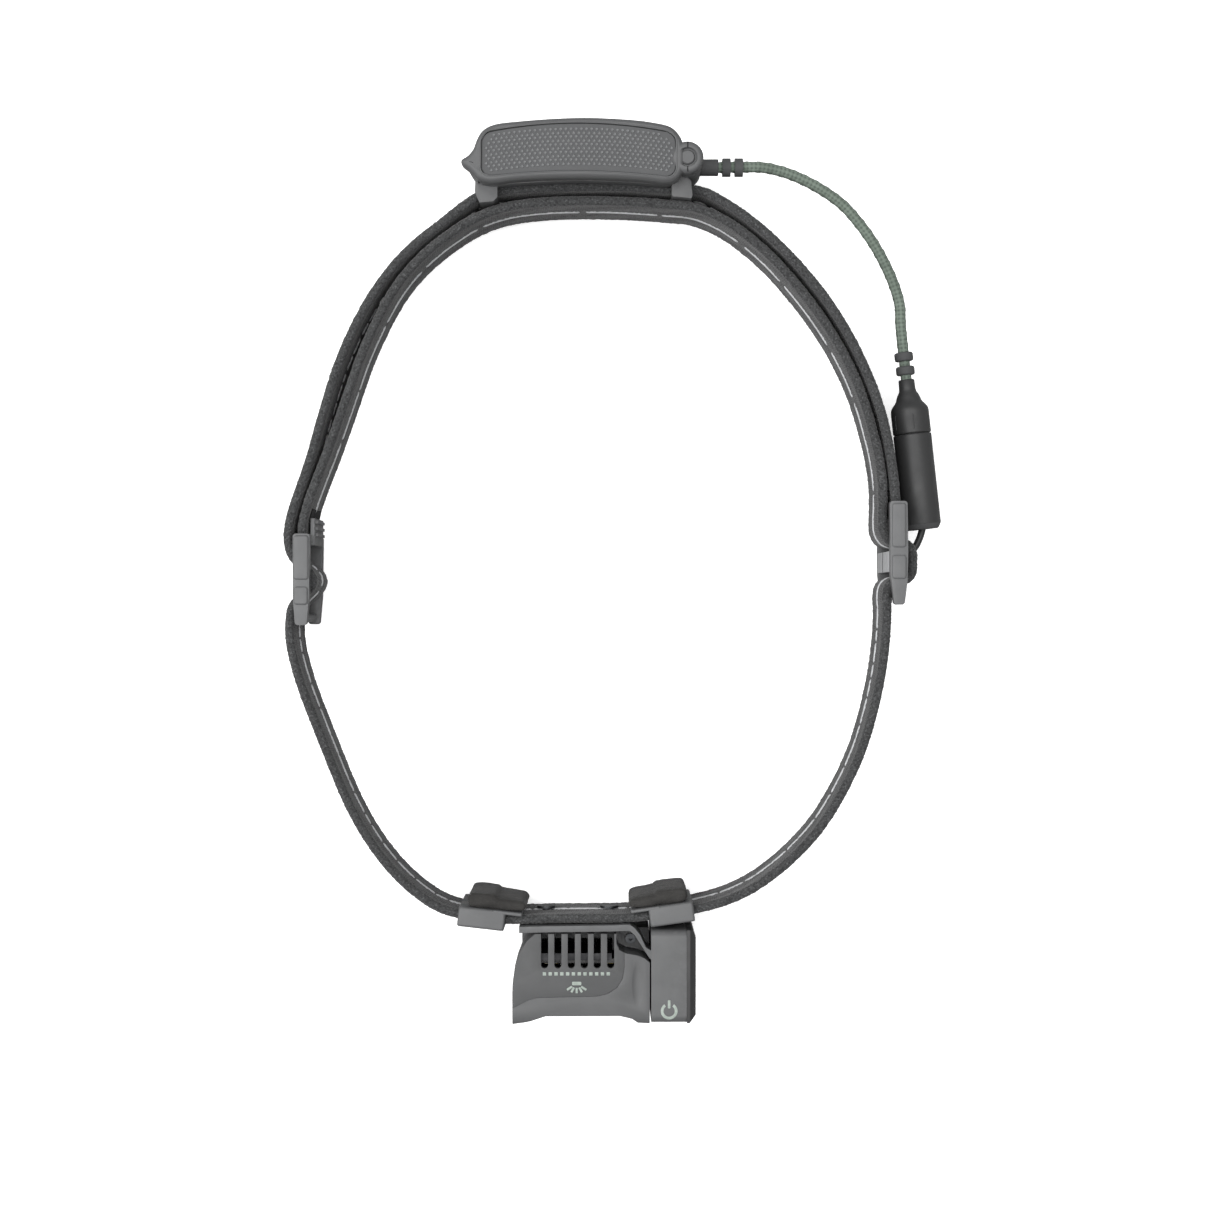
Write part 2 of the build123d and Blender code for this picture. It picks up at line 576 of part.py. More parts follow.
# plan outlines, (x, y)
CHAMBER = [(-29.8, 107.7), (-3.0, 107.9), (21.2, 107.5), (22.0, 108.6), (22.0, 116.8),
           (20.8, 117.9), (18.5, 118.7), (8.0, 119.9), (-3.0, 120.3), (-14.0, 119.9),
           (-26.5, 118.7), (-29.4, 117.9), (-30.8, 116.4), (-30.8, 109.0)]
# right-hand end, head side to rear; the lid's end carries a thumb nub
BOX_END = [(-31.4, 104.4), (-33.2, 106.6), (-33.7, 109.3), (-33.6, 113.2), (-32.4, 116.9)]
LID_END = [(-31.4, 104.4), (-33.0, 106.4), (-35.1, 107.9), (-36.7, 109.3), (-36.7, 110.3),
           (-35.55, 111.4), (-33.6, 113.2), (-32.4, 116.9)]
LATCH_RIB = [(-32.5, 104.8), (-34.4, 107.6), (-35.6, 109.6), (-34.4, 111.3), (-32.5, 112.6)]
RIGHT_KEEPER = [(-33.3, 108.0), (-33.5, 102.6), (-32.2, 99.6), (-28.4, 99.9), (-27.2, 101.2),
                (-27.2, 108.0)]
LEFT_KEEPER = [(21.4, 108.0), (21.4, 101.8), (22.2, 100.7), (26.4, 99.8), (27.2, 101.6),
               (26.8, 105.6), (24.4, 108.0)]
LID_HOLLOW = [(-29.8, 108.3), (-3.0, 108.4), (20.6, 108.1), (20.6, 116.4), (8.0, 118.8),
              (-3.0, 119.3), (-14.0, 118.9), (-29.0, 117.0)]


def box_outline(right_end):
    with BuildLine() as outline:
        ThreePointArc((-29.4, 119.6), (-3.0, 121.9), (21.4, 119.3))
        Polyline((21.4, 119.3), (23.4, 117.4), (24.6, 114.4), (24.6, 107.4), (23.2, 105.2),
                 (20.0, 104.0))
        ThreePointArc((20.0, 104.0), (-4.0, 105.3), (-28.4, 103.9))
        Polyline((-28.4, 103.9), *right_end, (-29.4, 119.6))
    make_face(outline.edges())


with BuildPart() as battery_box:
    with BuildSketch(Plane.XY.offset(Z_STAND)):
        box_outline(BOX_END)
    extrude(amount=BODY_TOP - Z_STAND)
    # latch rib under the lid's thumb nub
    prism(LATCH_RIB, 8.0, BODY_TOP)
    # barrel for the lid pin and the cable gland
    post((PIN_X, PIN_Y, 8.5), LUG_R, 18.0)
    # band keepers at both ends, and the passages for the two runs of webbing
    prism(RIGHT_KEEPER, -15.6, 15.6)
    prism(LEFT_KEEPER, -15.6, 15.6)
    prism(ribbon_outline(rear_outer_band, BAND_T / 2 + 0.35), -13.0, 13.0, CUT)
    prism(ribbon_outline(rear_inner_band, BAND_T / 2 + 0.3), -20.0, 20.0, CUT)
    # cell chamber
    prism(CHAMBER, -15.4, 18.0, CUT)
    # rebate for the lid gasket round the chamber mouth
    with BuildSketch(Plane.XY.offset(GASKET_Z)):
        polygon(CHAMBER)
        offset(amount=0.6, kind=Kind.INTERSECTION)
    extrude(amount=1.4, mode=CUT)
    # pin bore, cable bore
    post((PIN_X, PIN_Y, 14.5), PIN_BORE_R, 9.0, CUT)
    rod((26.0, GLAND_Y, GLAND_Z), 2.05, 12.0, X_DIR, CUT)

with BuildPart() as lid_gasket:
    with BuildSketch(Plane.XY.offset(GASKET_Z + 0.02)):
        polygon(CHAMBER)
        offset(amount=0.56, kind=Kind.INTERSECTION)
    extrude(amount=0.83)
    prism(CHAMBER, 16.0, 18.5, CUT)

with BuildPart() as lid_pin:
    post((PIN_X, PIN_Y, 16.4), 2.0, 12.6)
    chamfer(lid_pin.edges().filter_by(GeomType.CIRCLE).sort_by(Axis.Z)[-1], 0.3)


def inlay_outline(inset=0.0):
    """Rounded, slightly bowed oblong on the lid."""
    d = inset
    with BuildLine() as outline:
        ThreePointArc((-28.4 + d, 118.0 - d), (-4.4, 120.2 - d), (19.2 - d, 118.0 - d))
        ThreePointArc((19.2 - d, 118.0 - d), (21.4 - d, 117.0 - d), (22.3 - d, 114.7))
        Line((22.3 - d, 114.7), (22.3 - d, 108.6))
        ThreePointArc((22.3 - d, 108.6), (21.6 - d, 106.4 + d), (19.6 - d, 105.5 + d))
        ThreePointArc((19.6 - d, 105.5 + d), (-4.4, 107.1 + d), (-28.6 + d, 105.7 + d))
        ThreePointArc((-28.6 + d, 105.7 + d), (-30.7 + d, 106.6 + d), (-31.3 + d, 108.8))
        Line((-31.3 + d, 108.8), (-31.3 + d, 114.7))
        ThreePointArc((-31.3 + d, 114.7), (-30.4 + d, 117.0 - d), (-28.4 + d, 118.0 - d))
    make_face(outline.edges())


INLAY_Z = 21.8              # floor of the inlay seat
with BuildPart() as battery_lid:
    with BuildSketch(Plane.XY.offset(LID_SPLIT)):
        box_outline(LID_END)
    extrude(amount=BOX_TOP - LID_SPLIT)
    post((PIN_X, PIN_Y, (BOX_TOP + LID_SPLIT) / 2), LUG_R, BOX_TOP - LID_SPLIT)
    chamfer(battery_lid.edges().filter_by(lambda e: abs(e.center().Z - BOX_TOP) < 0.01), 0.9)
    # seat of the rubber inlay
    with BuildSketch(Plane.XY.offset(INLAY_Z)):
        inlay_outline()
    extrude(amount=3.0, mode=CUT)
    # hollow underside
    prism(LID_HOLLOW, 17.0, 20.2, CUT)
    # pin bore, widened at the top, with a thin groove on either side
    post((PIN_X, PIN_Y, 20.0), PIN_BORE_R, 12.0, CUT)
    post((PIN_X, PIN_Y, BOX_TOP), 2.35, 1.6, CUT)
    for dy in (3.4, -3.4):
        block((PIN_X, PIN_Y + dy, BOX_TOP), (0.3, 2.4, 1.2), CUT)

with BuildPart() as lid_grip_inlay:
    with BuildSketch(Plane.XY.offset(INLAY_Z + 0.02)):
        inlay_outline(inset=0.06)
    extrude(amount=1.1)

# ------------------------------------------------------------------ cells and contacts
CELL_R = 5.15
CELL_L = 44.0
CELL_X, CELL_Y = -4.2, 113.25
CELLS = ((-10.2, -1), (0.4, 1), (11.0, -1))        # (z, X direction the nipple points)
COILS = ((0.0, 1.7), (1.1, 2.4), (2.2, 3.1))       # (distance past the cell end, coil radius)
COIL_STRUT = [(-0.3, 1.5), (0.5, 1.5), (2.5, 2.9), (2.5, 3.4), (1.9, 3.4), (-0.3, 1.95)]
WIRE_R = 0.35

with BuildPart() as battery_cells:
    for z, nipple in CELLS:
        rod((CELL_X, CELL_Y, z), CELL_R, CELL_L - 1.0, X_DIR)
        rod((CELL_X + nipple * CELL_L / 2, CELL_Y, z), 1.9, 2.0, X_DIR)

# widening rings joined by a strut, at the flat end of each cell
with BuildPart() as contact_springs:
    for z, nipple in CELLS:
        flat = -nipple
        end_x = CELL_X + flat * CELL_L / 2
        for reach, radius in COILS:
            with Locations(Plane(origin=(end_x + flat * reach, CELL_Y, z), z_dir=X_DIR)):
                Torus(radius, WIRE_R)
        with BuildSketch(Plane(origin=(end_x, CELL_Y, z), x_dir=(flat, 0, 0), z_dir=Y_DIR)):
            polygon(COIL_STRUT)
        extrude(amount=WIRE_R, both=True)

with BuildPart() as contact_plates:
    for z, nipple in CELLS:
        for end in (1, -1):
            gap = 1.6 if end == nipple else 3.2
            block((CELL_X + end * (CELL_L / 2 + gap), CELL_Y, z), (0.4, 6.6, 8.4))

with BuildPart() as contact_board:
    block((-30.25, 112.8, 0.4), (0.7, 6.4, 29.0))

# ------------------------------------------------------------------ cable and in-line connector
# connector axis: level, running forward from PLUG_ORIGIN
PLUG_ORIGIN = (90.2, 39.2, 0)
PLUG_DIR = (0.1075, -0.9942, 0)
CABLE_R = 1.6
# centre line of the cable from the gland to the plug, (x, y, z)
CABLE = [(31.0, 111.2, 5.6), (42.0, 111.4, 5.4), (47.3, 111.4, 5.0), (53.1, 110.3, 4.4),
         (58.9, 108.2, 3.8), (64.7, 105.2, 3.2), (70.4, 101.2, 2.6), (74.7, 96.6, 2.1),
         (78.7, 91.3, 1.6), (82.3, 85.2, 1.1), (85.2, 78.8, 0.7), (86.9, 73.0, 0.4),
         (87.2, 67.3, 0.2), (87.8, 61.4, 0.05), (88.4, 56.0, 0.0), (89.3, 47.5, 0.0)]

with BuildPart() as battery_cable:
    with BuildLine() as cable_path:
        Spline(*CABLE, tangents=[(1, 0, 0), PLUG_DIR])
    with BuildSketch(Plane(origin=cable_path.line @ 0, z_dir=cable_path.line % 0)):
        Circle(CABLE_R)
    sweep()
cable_curve = cable_path.line
cable_start = Plane(origin=cable_curve @ 0, z_dir=cable_curve % 0)
cable_bore = sweep(cable_start * Circle(CABLE_R + 0.05), path=cable_curve)

# gland sleeves: (x start, x end, radius)
GLAND_SLEEVES = ((29.0, 34.8, 2.35), (36.0, 38.3, 2.6), (39.5, 41.8, 2.6))
SLEEVE_Y, SLEEVE_Z = 111.25, 5.5

with BuildPart() as cable_gland:
    for x0, x1, radius in GLAND_SLEEVES:
        rod(((x0 + x1) / 2, SLEEVE_Y, SLEEVE_Z), radius, x1 - x0, X_DIR)
    # hollowed to fit the barrel, then the stub that enters it
    post((PIN_X, PIN_Y, 8.5), LUG_R + 0.04, 20.0, CUT)
    rod((26.6, GLAND_Y, GLAND_Z), 2.0, 7.4, X_DIR)
    # strip joining the sleeves underneath
    block((38.0, SLEEVE_Y, 3.4), (7.4, 1.2, 0.9))
    add(cable_bore, mode=CUT)


def along(t, z=0.0):
    """Point at distance t along the connector axis, at height z."""
    return (PLUG_ORIGIN[0] + PLUG_DIR[0] * t, PLUG_ORIGIN[1] + PLUG_DIR[1] * t, z)


def revolve_connector(profile):
    """Turn a profile of (distance along, radius) about the connector axis."""
    revolve_profile(profile, Plane(origin=PLUG_ORIGIN, x_dir=PLUG_DIR, z_dir=(0, 0, 1)),
                    Axis(PLUG_ORIGIN, PLUG_DIR))


PIN_Z = (-1.3, 1.3)         # heights of the two plug pins

with BuildPart() as plug_body:
    revolve_connector([
        (-12.6, 1.72), (-12.6, 2.2), (-9.6, 2.3), (-8.6, 2.9), (-6.4, 3.6), (-4.8, 5.0),
        (-3.4, 5.4), (2.95, 5.4), (2.95, 4.5), (5.6, 4.5), (5.6, 3.9), (7.0, 3.9), (7.0, 4.5),
        (8.6, 4.5), (8.6, 3.2), (5.0, 3.2), (5.0, 0.0), (-8.1, 0.0), (-8.1, 1.72)])
    # two rings round the cable and the strip joining them to the body
    revolve_connector([(-16.4, 1.72), (-16.4, 2.6), (-13.9, 2.6), (-13.9, 1.72)])
    revolve_connector([(-20.4, 1.78), (-20.4, 2.6), (-17.9, 2.6), (-17.9, 1.78)])
    with Locations(Plane(origin=along(-16.2, -2.25), x_dir=PLUG_DIR, z_dir=(0, 0, 1))):
        Box(8.2, 1.2, 0.9)

with BuildPart() as plug_pins:
    for z in PIN_Z:
        rod(along(8.6, z), 0.6, 7.0, PLUG_DIR)

with BuildPart() as plug_seal:
    with Locations(Plane(origin=along(6.3), z_dir=PLUG_DIR)):
        Torus(4.35, 0.33)

with BuildPart() as socket_body:
    revolve_connector([(3.1, 4.75), (3.1, 5.4), (28.9, 5.4), (30.4, 4.6), (30.4, 1.95),
                       (27.6, 1.95), (27.6, 4.0), (12.6, 4.0), (12.6, 4.75)])

with BuildPart() as socket_contacts:
    rod(along(15.2), 3.9, 5.0, PLUG_DIR)
    for z in PIN_Z:
        rod(along(15.0, z), 0.66, 8.0, PLUG_DIR, CUT)

# ------------------------------------------------------------------ write every piece
PIECES = dict(
    headband_strap=headband_strap, lamp_lead=lamp_lead,
    strap_adjuster_right=strap_adjuster_right, strap_adjuster_left=strap_adjuster_left,
    lamp_bracket=lamp_bracket, bracket_rivets=bracket_rivets, block_end_cap=block_end_cap,
    power_button=power_button, button_membrane=button_membrane, tact_switch=tact_switch,
    driver_board=driver_board, end_cap_screws=end_cap_screws,
    band_clip_right=band_clip_right, band_clip_left=band_clip_left,
    forehead_pad_right=forehead_pad_right, forehead_pad_left=forehead_pad_left,
    lamp_housing=lamp_housing, lamp_top_cover=lamp_top_cover,
    front_bezel=front_bezel, bezel_gasket=bezel_gasket,
    spot_lens=spot_lens, flood_lens=flood_lens,
    spot_reflector=spot_reflector, flood_reflector=flood_reflector,
    spot_led=spot_led, flood_led=flood_led, led_board=led_board, heat_sink=heat_sink,
    pivot_bush=pivot_bush, pivot_screw=pivot_screw,
    lamp_wires=lamp_wires, housing_screws=housing_screws,
    battery_box=battery_box, battery_lid=battery_lid, lid_grip_inlay=lid_grip_inlay,
    lid_gasket=lid_gasket, lid_pin=lid_pin, battery_cells=battery_cells,
    contact_springs=contact_springs, contact_plates=contact_plates,
    contact_board=contact_board, cable_gland=cable_gland, battery_cable=battery_cable,
    plug_body=plug_body, plug_pins=plug_pins, plug_seal=plug_seal,
    socket_body=socket_body, socket_contacts=socket_contacts,
)
for name, piece in PIECES.items():
    piece.part.label = name
    export_step(piece.part, f"parts/{name}.step")
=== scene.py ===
import bpy, bmesh, math, random
import numpy as np
from mathutils import Vector, Matrix, noise


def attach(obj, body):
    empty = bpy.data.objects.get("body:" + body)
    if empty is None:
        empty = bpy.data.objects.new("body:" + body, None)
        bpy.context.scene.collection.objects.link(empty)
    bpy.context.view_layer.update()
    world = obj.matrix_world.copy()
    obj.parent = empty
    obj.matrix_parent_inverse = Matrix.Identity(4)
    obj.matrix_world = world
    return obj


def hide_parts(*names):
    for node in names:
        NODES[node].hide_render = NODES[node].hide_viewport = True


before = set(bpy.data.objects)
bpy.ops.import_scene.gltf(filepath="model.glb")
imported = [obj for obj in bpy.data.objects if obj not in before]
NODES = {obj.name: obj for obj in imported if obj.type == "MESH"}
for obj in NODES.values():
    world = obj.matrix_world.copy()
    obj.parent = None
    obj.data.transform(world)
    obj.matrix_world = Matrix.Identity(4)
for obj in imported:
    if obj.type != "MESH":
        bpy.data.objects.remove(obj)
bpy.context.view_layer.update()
MM = 0.001
rng = random.Random(7)

# --------------------------------------------------------------------------
# helpers
# --------------------------------------------------------------------------


def new_obj(name, verts, faces, mat=None, smooth=True, angle=35.0, scale=MM):
    me = bpy.data.meshes.new(name)
    me.from_pydata([(v[0] * scale, v[1] * scale, v[2] * scale) for v in verts], [], faces)
    me.validate()
    ob = bpy.data.objects.new(name, me)
    bpy.context.scene.collection.objects.link(ob)
    bm = bmesh.new()
    bm.from_mesh(me)
    bmesh.ops.remove_doubles(bm, verts=bm.verts, dist=1e-7)
    bmesh.ops.recalc_face_normals(bm, faces=bm.faces)
    bm.to_mesh(me)
    bm.free()
    if smooth:
        shade(ob, angle)
    if mat is not None:
        me.materials.append(mat)
    return ob


def shade(ob, angle=35.0):
    me = ob.data
    me.polygons.foreach_set("use_smooth", [True] * len(me.polygons))
    bm = bmesh.new()
    bm.from_mesh(me)
    lim = math.radians(angle)
    for e in bm.edges:
        if len(e.link_faces) == 2:
            e.smooth = e.calc_face_angle(0.0) < lim
    bm.to_mesh(me)
    bm.free()


def apply_mods(ob):
    dg = bpy.context.evaluated_depsgraph_get()
    ev = ob.evaluated_get(dg)
    me = bpy.data.meshes.new_from_object(ev)
    old = ob.data
    ob.modifiers.clear()
    ob.data = me
    me.name = ob.name
    bpy.data.meshes.remove(old)


def join(obs, name):
    """Joins meshes into one piece, keeping every material slot."""
    me = bpy.data.meshes.new(name)
    bm = bmesh.new()
    mats = []
    for o in obs:
        if o.modifiers:
            apply_mods(o)
        start = len(bm.faces)
        remap = {}
        for i, m in enumerate(o.data.materials):
            if m not in mats:
                mats.append(m)
            remap[i] = mats.index(m)
        tmp = o.data.copy()
        tmp.transform(o.matrix_world)
        bm.from_mesh(tmp)
        bpy.data.meshes.remove(tmp)
        bm.faces.ensure_lookup_table()
        for f in bm.faces[start:]:
            f.material_index = remap.get(f.material_index, 0)
    bm.to_mesh(me)
    bm.free()
    ob = bpy.data.objects.new(name, me)
    for m in mats:
        me.materials.append(m)
    bpy.context.scene.collection.objects.link(ob)
    for o in obs:
        d = o.data
        bpy.data.objects.remove(o)
        bpy.data.meshes.remove(d)
    return ob


def catmull(points, step=2.0, closed=False):
    """Even points along a smooth curve through points of any dimension."""
    P = [np.array(p, float) for p in points]
    n = len(P)
    out = []
    segs = n if closed else n - 1
    for i in range(segs):
        p1, p2 = P[i % n], P[(i + 1) % n]
        p0 = P[(i - 1) % n] if (closed or i > 0) else 2 * p1 - p2
        p3 = P[(i + 2) % n] if (closed or i + 2 < n) else 2 * p2 - p1
        d = np.linalg.norm(p2 - p1)
        t0 = 0.0
        t1 = t0 + max(np.linalg.norm(p1 - p0), 1e-6) ** 0.5
        t2 = t1 + max(d, 1e-6) ** 0.5
        t3 = t2 + max(np.linalg.norm(p3 - p2), 1e-6) ** 0.5
        k = max(1, int(round(d / step)))
        for j in range(k):
            t = t1 + (t2 - t1) * j / k
            a1 = (t1 - t) / (t1 - t0) * p0 + (t - t0) / (t1 - t0) * p1
            a2 = (t2 - t) / (t2 - t1) * p1 + (t - t1) / (t2 - t1) * p2
            a3 = (t3 - t) / (t3 - t2) * p2 + (t - t2) / (t3 - t2) * p3
            b1 = (t2 - t) / (t2 - t0) * a1 + (t - t0) / (t2 - t0) * a2
            b2 = (t3 - t) / (t3 - t1) * a2 + (t - t1) / (t3 - t1) * a3
            out.append((t2 - t) / (t2 - t1) * b1 + (t - t1) / (t2 - t1) * b2)
    if not closed:
        out.append(P[-1])
    return out


def resample(path, n, closed=True):
    P = np.array(path, float)
    if closed:
        P = np.vstack([P, P[:1]])
    d = np.concatenate([[0], np.cumsum(np.linalg.norm(np.diff(P, axis=0), axis=1))])
    t = np.linspace(0, d[-1], n + (1 if closed else 0))
    if closed:
        t = t[:-1]
    return np.stack([np.interp(t, d, P[:, k]) for k in range(P.shape[1])], axis=1)


def ccw(P):
    P = np.array(P, float)
    a = 0.5 * np.sum(P[:, 0] * np.roll(P[:, 1], -1) - np.roll(P[:, 0], -1) * P[:, 1])
    return P if a > 0 else P[::-1]


def round_poly(points, radii, seg=6):
    """Closed polygon with rounded corners; radii one number or one per corner."""
    n = len(points)
    if isinstance(radii, (int, float)):
        radii = [radii] * n
    out = []
    for i in range(n):
        p = np.array(points[i], float)
        a = np.array(points[i - 1], float) - p
        b = np.array(points[(i + 1) % n], float) - p
        la, lb = np.linalg.norm(a), np.linalg.norm(b)
        a, b = a / la, b / lb
        cosang = float(np.clip(a @ b, -1, 1))
        ang = math.acos(cosang)
        r = radii[i]
        if r <= 0 or ang > math.pi - 0.02:
            out.append(p)
            continue
        t = min(r / math.tan(ang / 2), 0.48 * la, 0.48 * lb)
        r = t * math.tan(ang / 2)
        c = p + (a + b) / np.linalg.norm(a + b) * (r / math.sin(ang / 2))
        s = p + a * t
        e = p + b * t
        a0 = math.atan2(*(s - c)[::-1])
        a1 = math.atan2(*(e - c)[::-1])
        da = (a1 - a0 + math.pi) % (2 * math.pi) - math.pi
        for k in range(seg + 1):
            w = a0 + da * k / seg
            out.append(c + r * np.array([math.cos(w), math.sin(w)]))
    return np.array(out)


def normals2d(P):
    """Outward normals of a ccw closed polygon."""
    prev, nxt = np.roll(P, 1, axis=0), np.roll(P, -1, axis=0)
    t = nxt - prev
    t /= np.maximum(np.linalg.norm(t, axis=1), 1e-9)[:, None]
    return np.stack([t[:, 1], -t[:, 0]], axis=1)


def inset(P, d):
    """Polygon moved inward by d; points keep their order."""
    return P - normals2d(P) * d


def grid_cap(ring, zf, mat_index=0):
    """Returns the ring as it is; no cap is filled."""
    return ring


def loft(name, rings, mat, cap0=True, cap1=True, smooth=True, angle=35.0):
    """rings: list of (N,3) arrays in mm, same N."""
    n = len(rings[0])
    verts = [tuple(p) for r in rings for p in r]
    faces = []
    for k in range(len(rings) - 1):
        a, b = k * n, (k + 1) * n
        for i in range(n):
            j = (i + 1) % n
            faces.append((a + i, a + j, b + j, b + i))
    if cap0:
        faces.append(tuple(range(n))[::-1])
    if cap1:
        faces.append(tuple(range((len(rings) - 1) * n, len(rings) * n)))
    return new_obj(name, verts, faces, mat, smooth, angle)


def at_z(P, z):
    return np.column_stack([P[:, 0], P[:, 1], np.full(len(P), z)])


def rounded_slab(name, outline, z0, z1, r0, r1, mat, seg=5, crown=0.0, angle=40.0):
    """Prism with rounded bottom (r0) and top (r1) edges."""
    P = ccw(outline)
    rings = []
    for k in range(seg + 1):
        a = math.pi / 2 * k / seg
        rings.append(at_z(inset(P, r0 * (1 - math.sin(a))), z0 + r0 * (1 - math.cos(a))))
    for k in range(seg + 1):
        a = math.pi / 2 * k / seg
        rings.append(at_z(inset(P, r1 * (1 - math.cos(a))), z1 - r1 * (1 - math.sin(a))))
    return loft(name, rings, mat, angle=angle)


def tube(name, path, radius, mat, seg=16, caps=True, radii=None):
    P = [np.array(p, float) for p in path]
    n = len(P)
    rings = []
    up = np.array([0, 0, 1.0])
    for i in range(n):
        t = P[min(i + 1, n - 1)] - P[max(i - 1, 0)]
        t /= np.linalg.norm(t)
        s = np.cross(t, up)
        if np.linalg.norm(s) < 1e-3:
            s = np.array([1.0, 0, 0])
        s /= np.linalg.norm(s)
        u = np.cross(s, t)
        r = radii[i] if radii is not None else radius
        rings.append(np.array([P[i] + r * (math.cos(a) * s + math.sin(a) * u) for a in [2 * math.pi * k / seg for k in range(seg)]]))
    return loft(name, rings, mat, cap0=caps, cap1=caps)


def revolve_axis(name, profile, origin, axis, mat, seg=48, closed=False, angle=35.0):
    """profile: (t along the axis, radius); origin and axis in mm."""
    a = Vector(axis).normalized()
    ref = Vector((0, 0, 1)) if abs(a.z) < 0.9 else Vector((1, 0, 0))
    s = a.cross(ref).normalized()
    u = s.cross(a)
    verts, faces = [], []
    n = len(profile)
    for t, r in profile:
        c = Vector(origin) + a * t
        for k in range(seg):
            w = 2 * math.pi * k / seg
            verts.append(tuple(c + (s * math.cos(w) + u * math.sin(w)) * max(r, 1e-4)))
    m = n if closed else n - 1
    for i in range(m):
        j = (i + 1) % n
        for k in range(seg):
            l = (k + 1) % seg
            faces.append((i * seg + k, i * seg + l, j * seg + l, j * seg + k))
    if not closed:
        faces.append(tuple(range(seg))[::-1])
        faces.append(tuple(range((n - 1) * seg, n * seg)))
    return new_obj(name, verts, faces, mat, True, angle)


def boolean(ob, cutters, op="DIFFERENCE", remove=True):
    for c in cutters:
        m = ob.modifiers.new("b", "BOOLEAN")
        m.operation = op
        m.object = c
        m.solver = "EXACT"
    bpy.context.view_layer.update()
    apply_mods(ob)
    if remove:
        for c in cutters:
            bpy.data.objects.remove(c)
    return ob


def bevel(ob, width=0.3, seg=3, angle=30.0):
    m = ob.modifiers.new("bev", "BEVEL")
    m.width = width * MM
    m.segments = seg
    m.limit_method = "ANGLE"
    m.angle_limit = math.radians(angle)
    m.harden_normals = False
    m.use_clamp_overlap = True
    apply_mods(ob)
    return ob


# --------------------------------------------------------------------------
# materials
# --------------------------------------------------------------------------


class Mat:
    def __init__(self, name):
        self.m = bpy.data.materials.new(name)
        self.m.use_nodes = True
        self.nt = self.m.node_tree
        self.nt.nodes.clear()
        self.out = self.nt.nodes.new("ShaderNodeOutputMaterial")
        self.b = self.nt.nodes.new("ShaderNodeBsdfPrincipled")
        self.nt.links.new(self.b.outputs[0], self.out.inputs[0])
        self.tc = self.nt.nodes.new("ShaderNodeTexCoord")

    def node(self, kind, **kw):
        n = self.nt.nodes.new(kind)
        for k, v in kw.items():
            if k in n.inputs:
                n.inputs[k].default_value = v
            else:
                setattr(n, k, v)
        return n

    def link(self, a, b):
        self.nt.links.new(a, b)

    def mapping(self, scale=(1, 1, 1), rot=(0, 0, 0), src="Object"):
        mp = self.node("ShaderNodeMapping")
        mp.inputs["Scale"].default_value = scale
        mp.inputs["Rotation"].default_value = rot
        self.link(self.tc.outputs[src], mp.inputs["Vector"])
        return mp.outputs[0]

    def noise(self, scale, detail=3.0, rough=0.5, vec=None):
        n = self.node("ShaderNodeTexNoise")
        n.inputs["Scale"].default_value = scale
        n.inputs["Detail"].default_value = detail
        n.inputs["Roughness"].default_value = rough
        self.link(vec if vec is not None else self.tc.outputs["Object"], n.inputs["Vector"])
        return n.outputs[0]

    def ramp(self, fac, stops):
        r = self.node("ShaderNodeValToRGB")
        e = r.color_ramp.elements
        while len(e) > 1:
            e.remove(e[-1])
        e[0].position, e[0].color = stops[0][0], (*stops[0][1], 1) if len(stops[0][1]) == 3 else stops[0][1]
        for p, c in stops[1:]:
            x = e.new(p)
            x.color = (*c, 1) if len(c) == 3 else c
        self.link(fac, r.inputs[0])
        return r.outputs[0]

    def maprange(self, fac, a, b, c, d):
        n = self.node("ShaderNodeMapRange")
        for i, v in enumerate((a, b, c, d)):
            n.inputs[i + 1].default_value = v
        self.link(fac, n.inputs[0])
        return n.outputs[0]

    def math(self, op, a, b=None, c=None):
        n = self.node("ShaderNodeMath", operation=op)
        for i, v in enumerate((a, b, c)):
            if v is None:
                continue
            if isinstance(v, (int, float)):
                n.inputs[i].default_value = v
            else:
                self.link(v, n.inputs[i])
        return n.outputs[0]

    def mix(self, fac, a, b, blend="MIX"):
        n = self.node("ShaderNodeMix", data_type="RGBA", blend_type=blend)
        for sock, v in ((n.inputs[0], fac), (n.inputs[6], a), (n.inputs[7], b)):
            if isinstance(v, (int, float)):
                sock.default_value = v
            elif isinstance(v, (tuple, list)):
                sock.default_value = (*v, 1) if len(v) == 3 else v
            else:
                self.link(v, sock)
        return n.outputs[2]

    def bump(self, height, strength=0.3, dist=0.0002, normal=None):
        n = self.node("ShaderNodeBump")
        n.inputs["Strength"].default_value = strength
        n.inputs["Distance"].default_value = dist
        self.link(height, n.inputs["Height"])
        if normal is not None:
            self.link(normal, n.inputs["Normal"])
        return n.outputs[0]

    def set(self, color=None, rough=None, normal=None, metallic=None, **kw):
        for key, v in (("Base Color", color), ("Roughness", rough), ("Normal", normal), ("Metallic", metallic)):
            if v is None:
                continue
            s = self.b.inputs[key]
            if isinstance(v, (int, float)):
                s.default_value = v
            elif isinstance(v, (tuple, list)):
                s.default_value = (*v, 1) if len(v) == 3 else v
            else:
                self.link(v, s)
        for k, v in kw.items():
            s = self.b.inputs[k.replace("_", " ")]
            if hasattr(v, "is_linked") or not isinstance(v, (int, float, tuple, list)):
                self.link(v, s)
            else:
                s.default_value = v
        return self.m


def grey(v):
    return (v, v, v * 1.012)


def L(v):
    s = v / 255.0
    return s / 12.92 if s <= 0.04045 else ((s + 0.055) / 1.055) ** 2.4


EXPO = 2.2   # light on an upward face: pixel value = albedo * EXPO


def tone(v, tint=(1.0, 1.0, 1.0)):
    g = L(v) / EXPO
    return (g * tint[0], g * tint[1], g * tint[2])


def scaled(c, k):
    return tuple(min(1.0, x * k) for x in c)


COOL = (0.985, 1.0, 1.02)
WARM = (1.03, 1.0, 0.96)


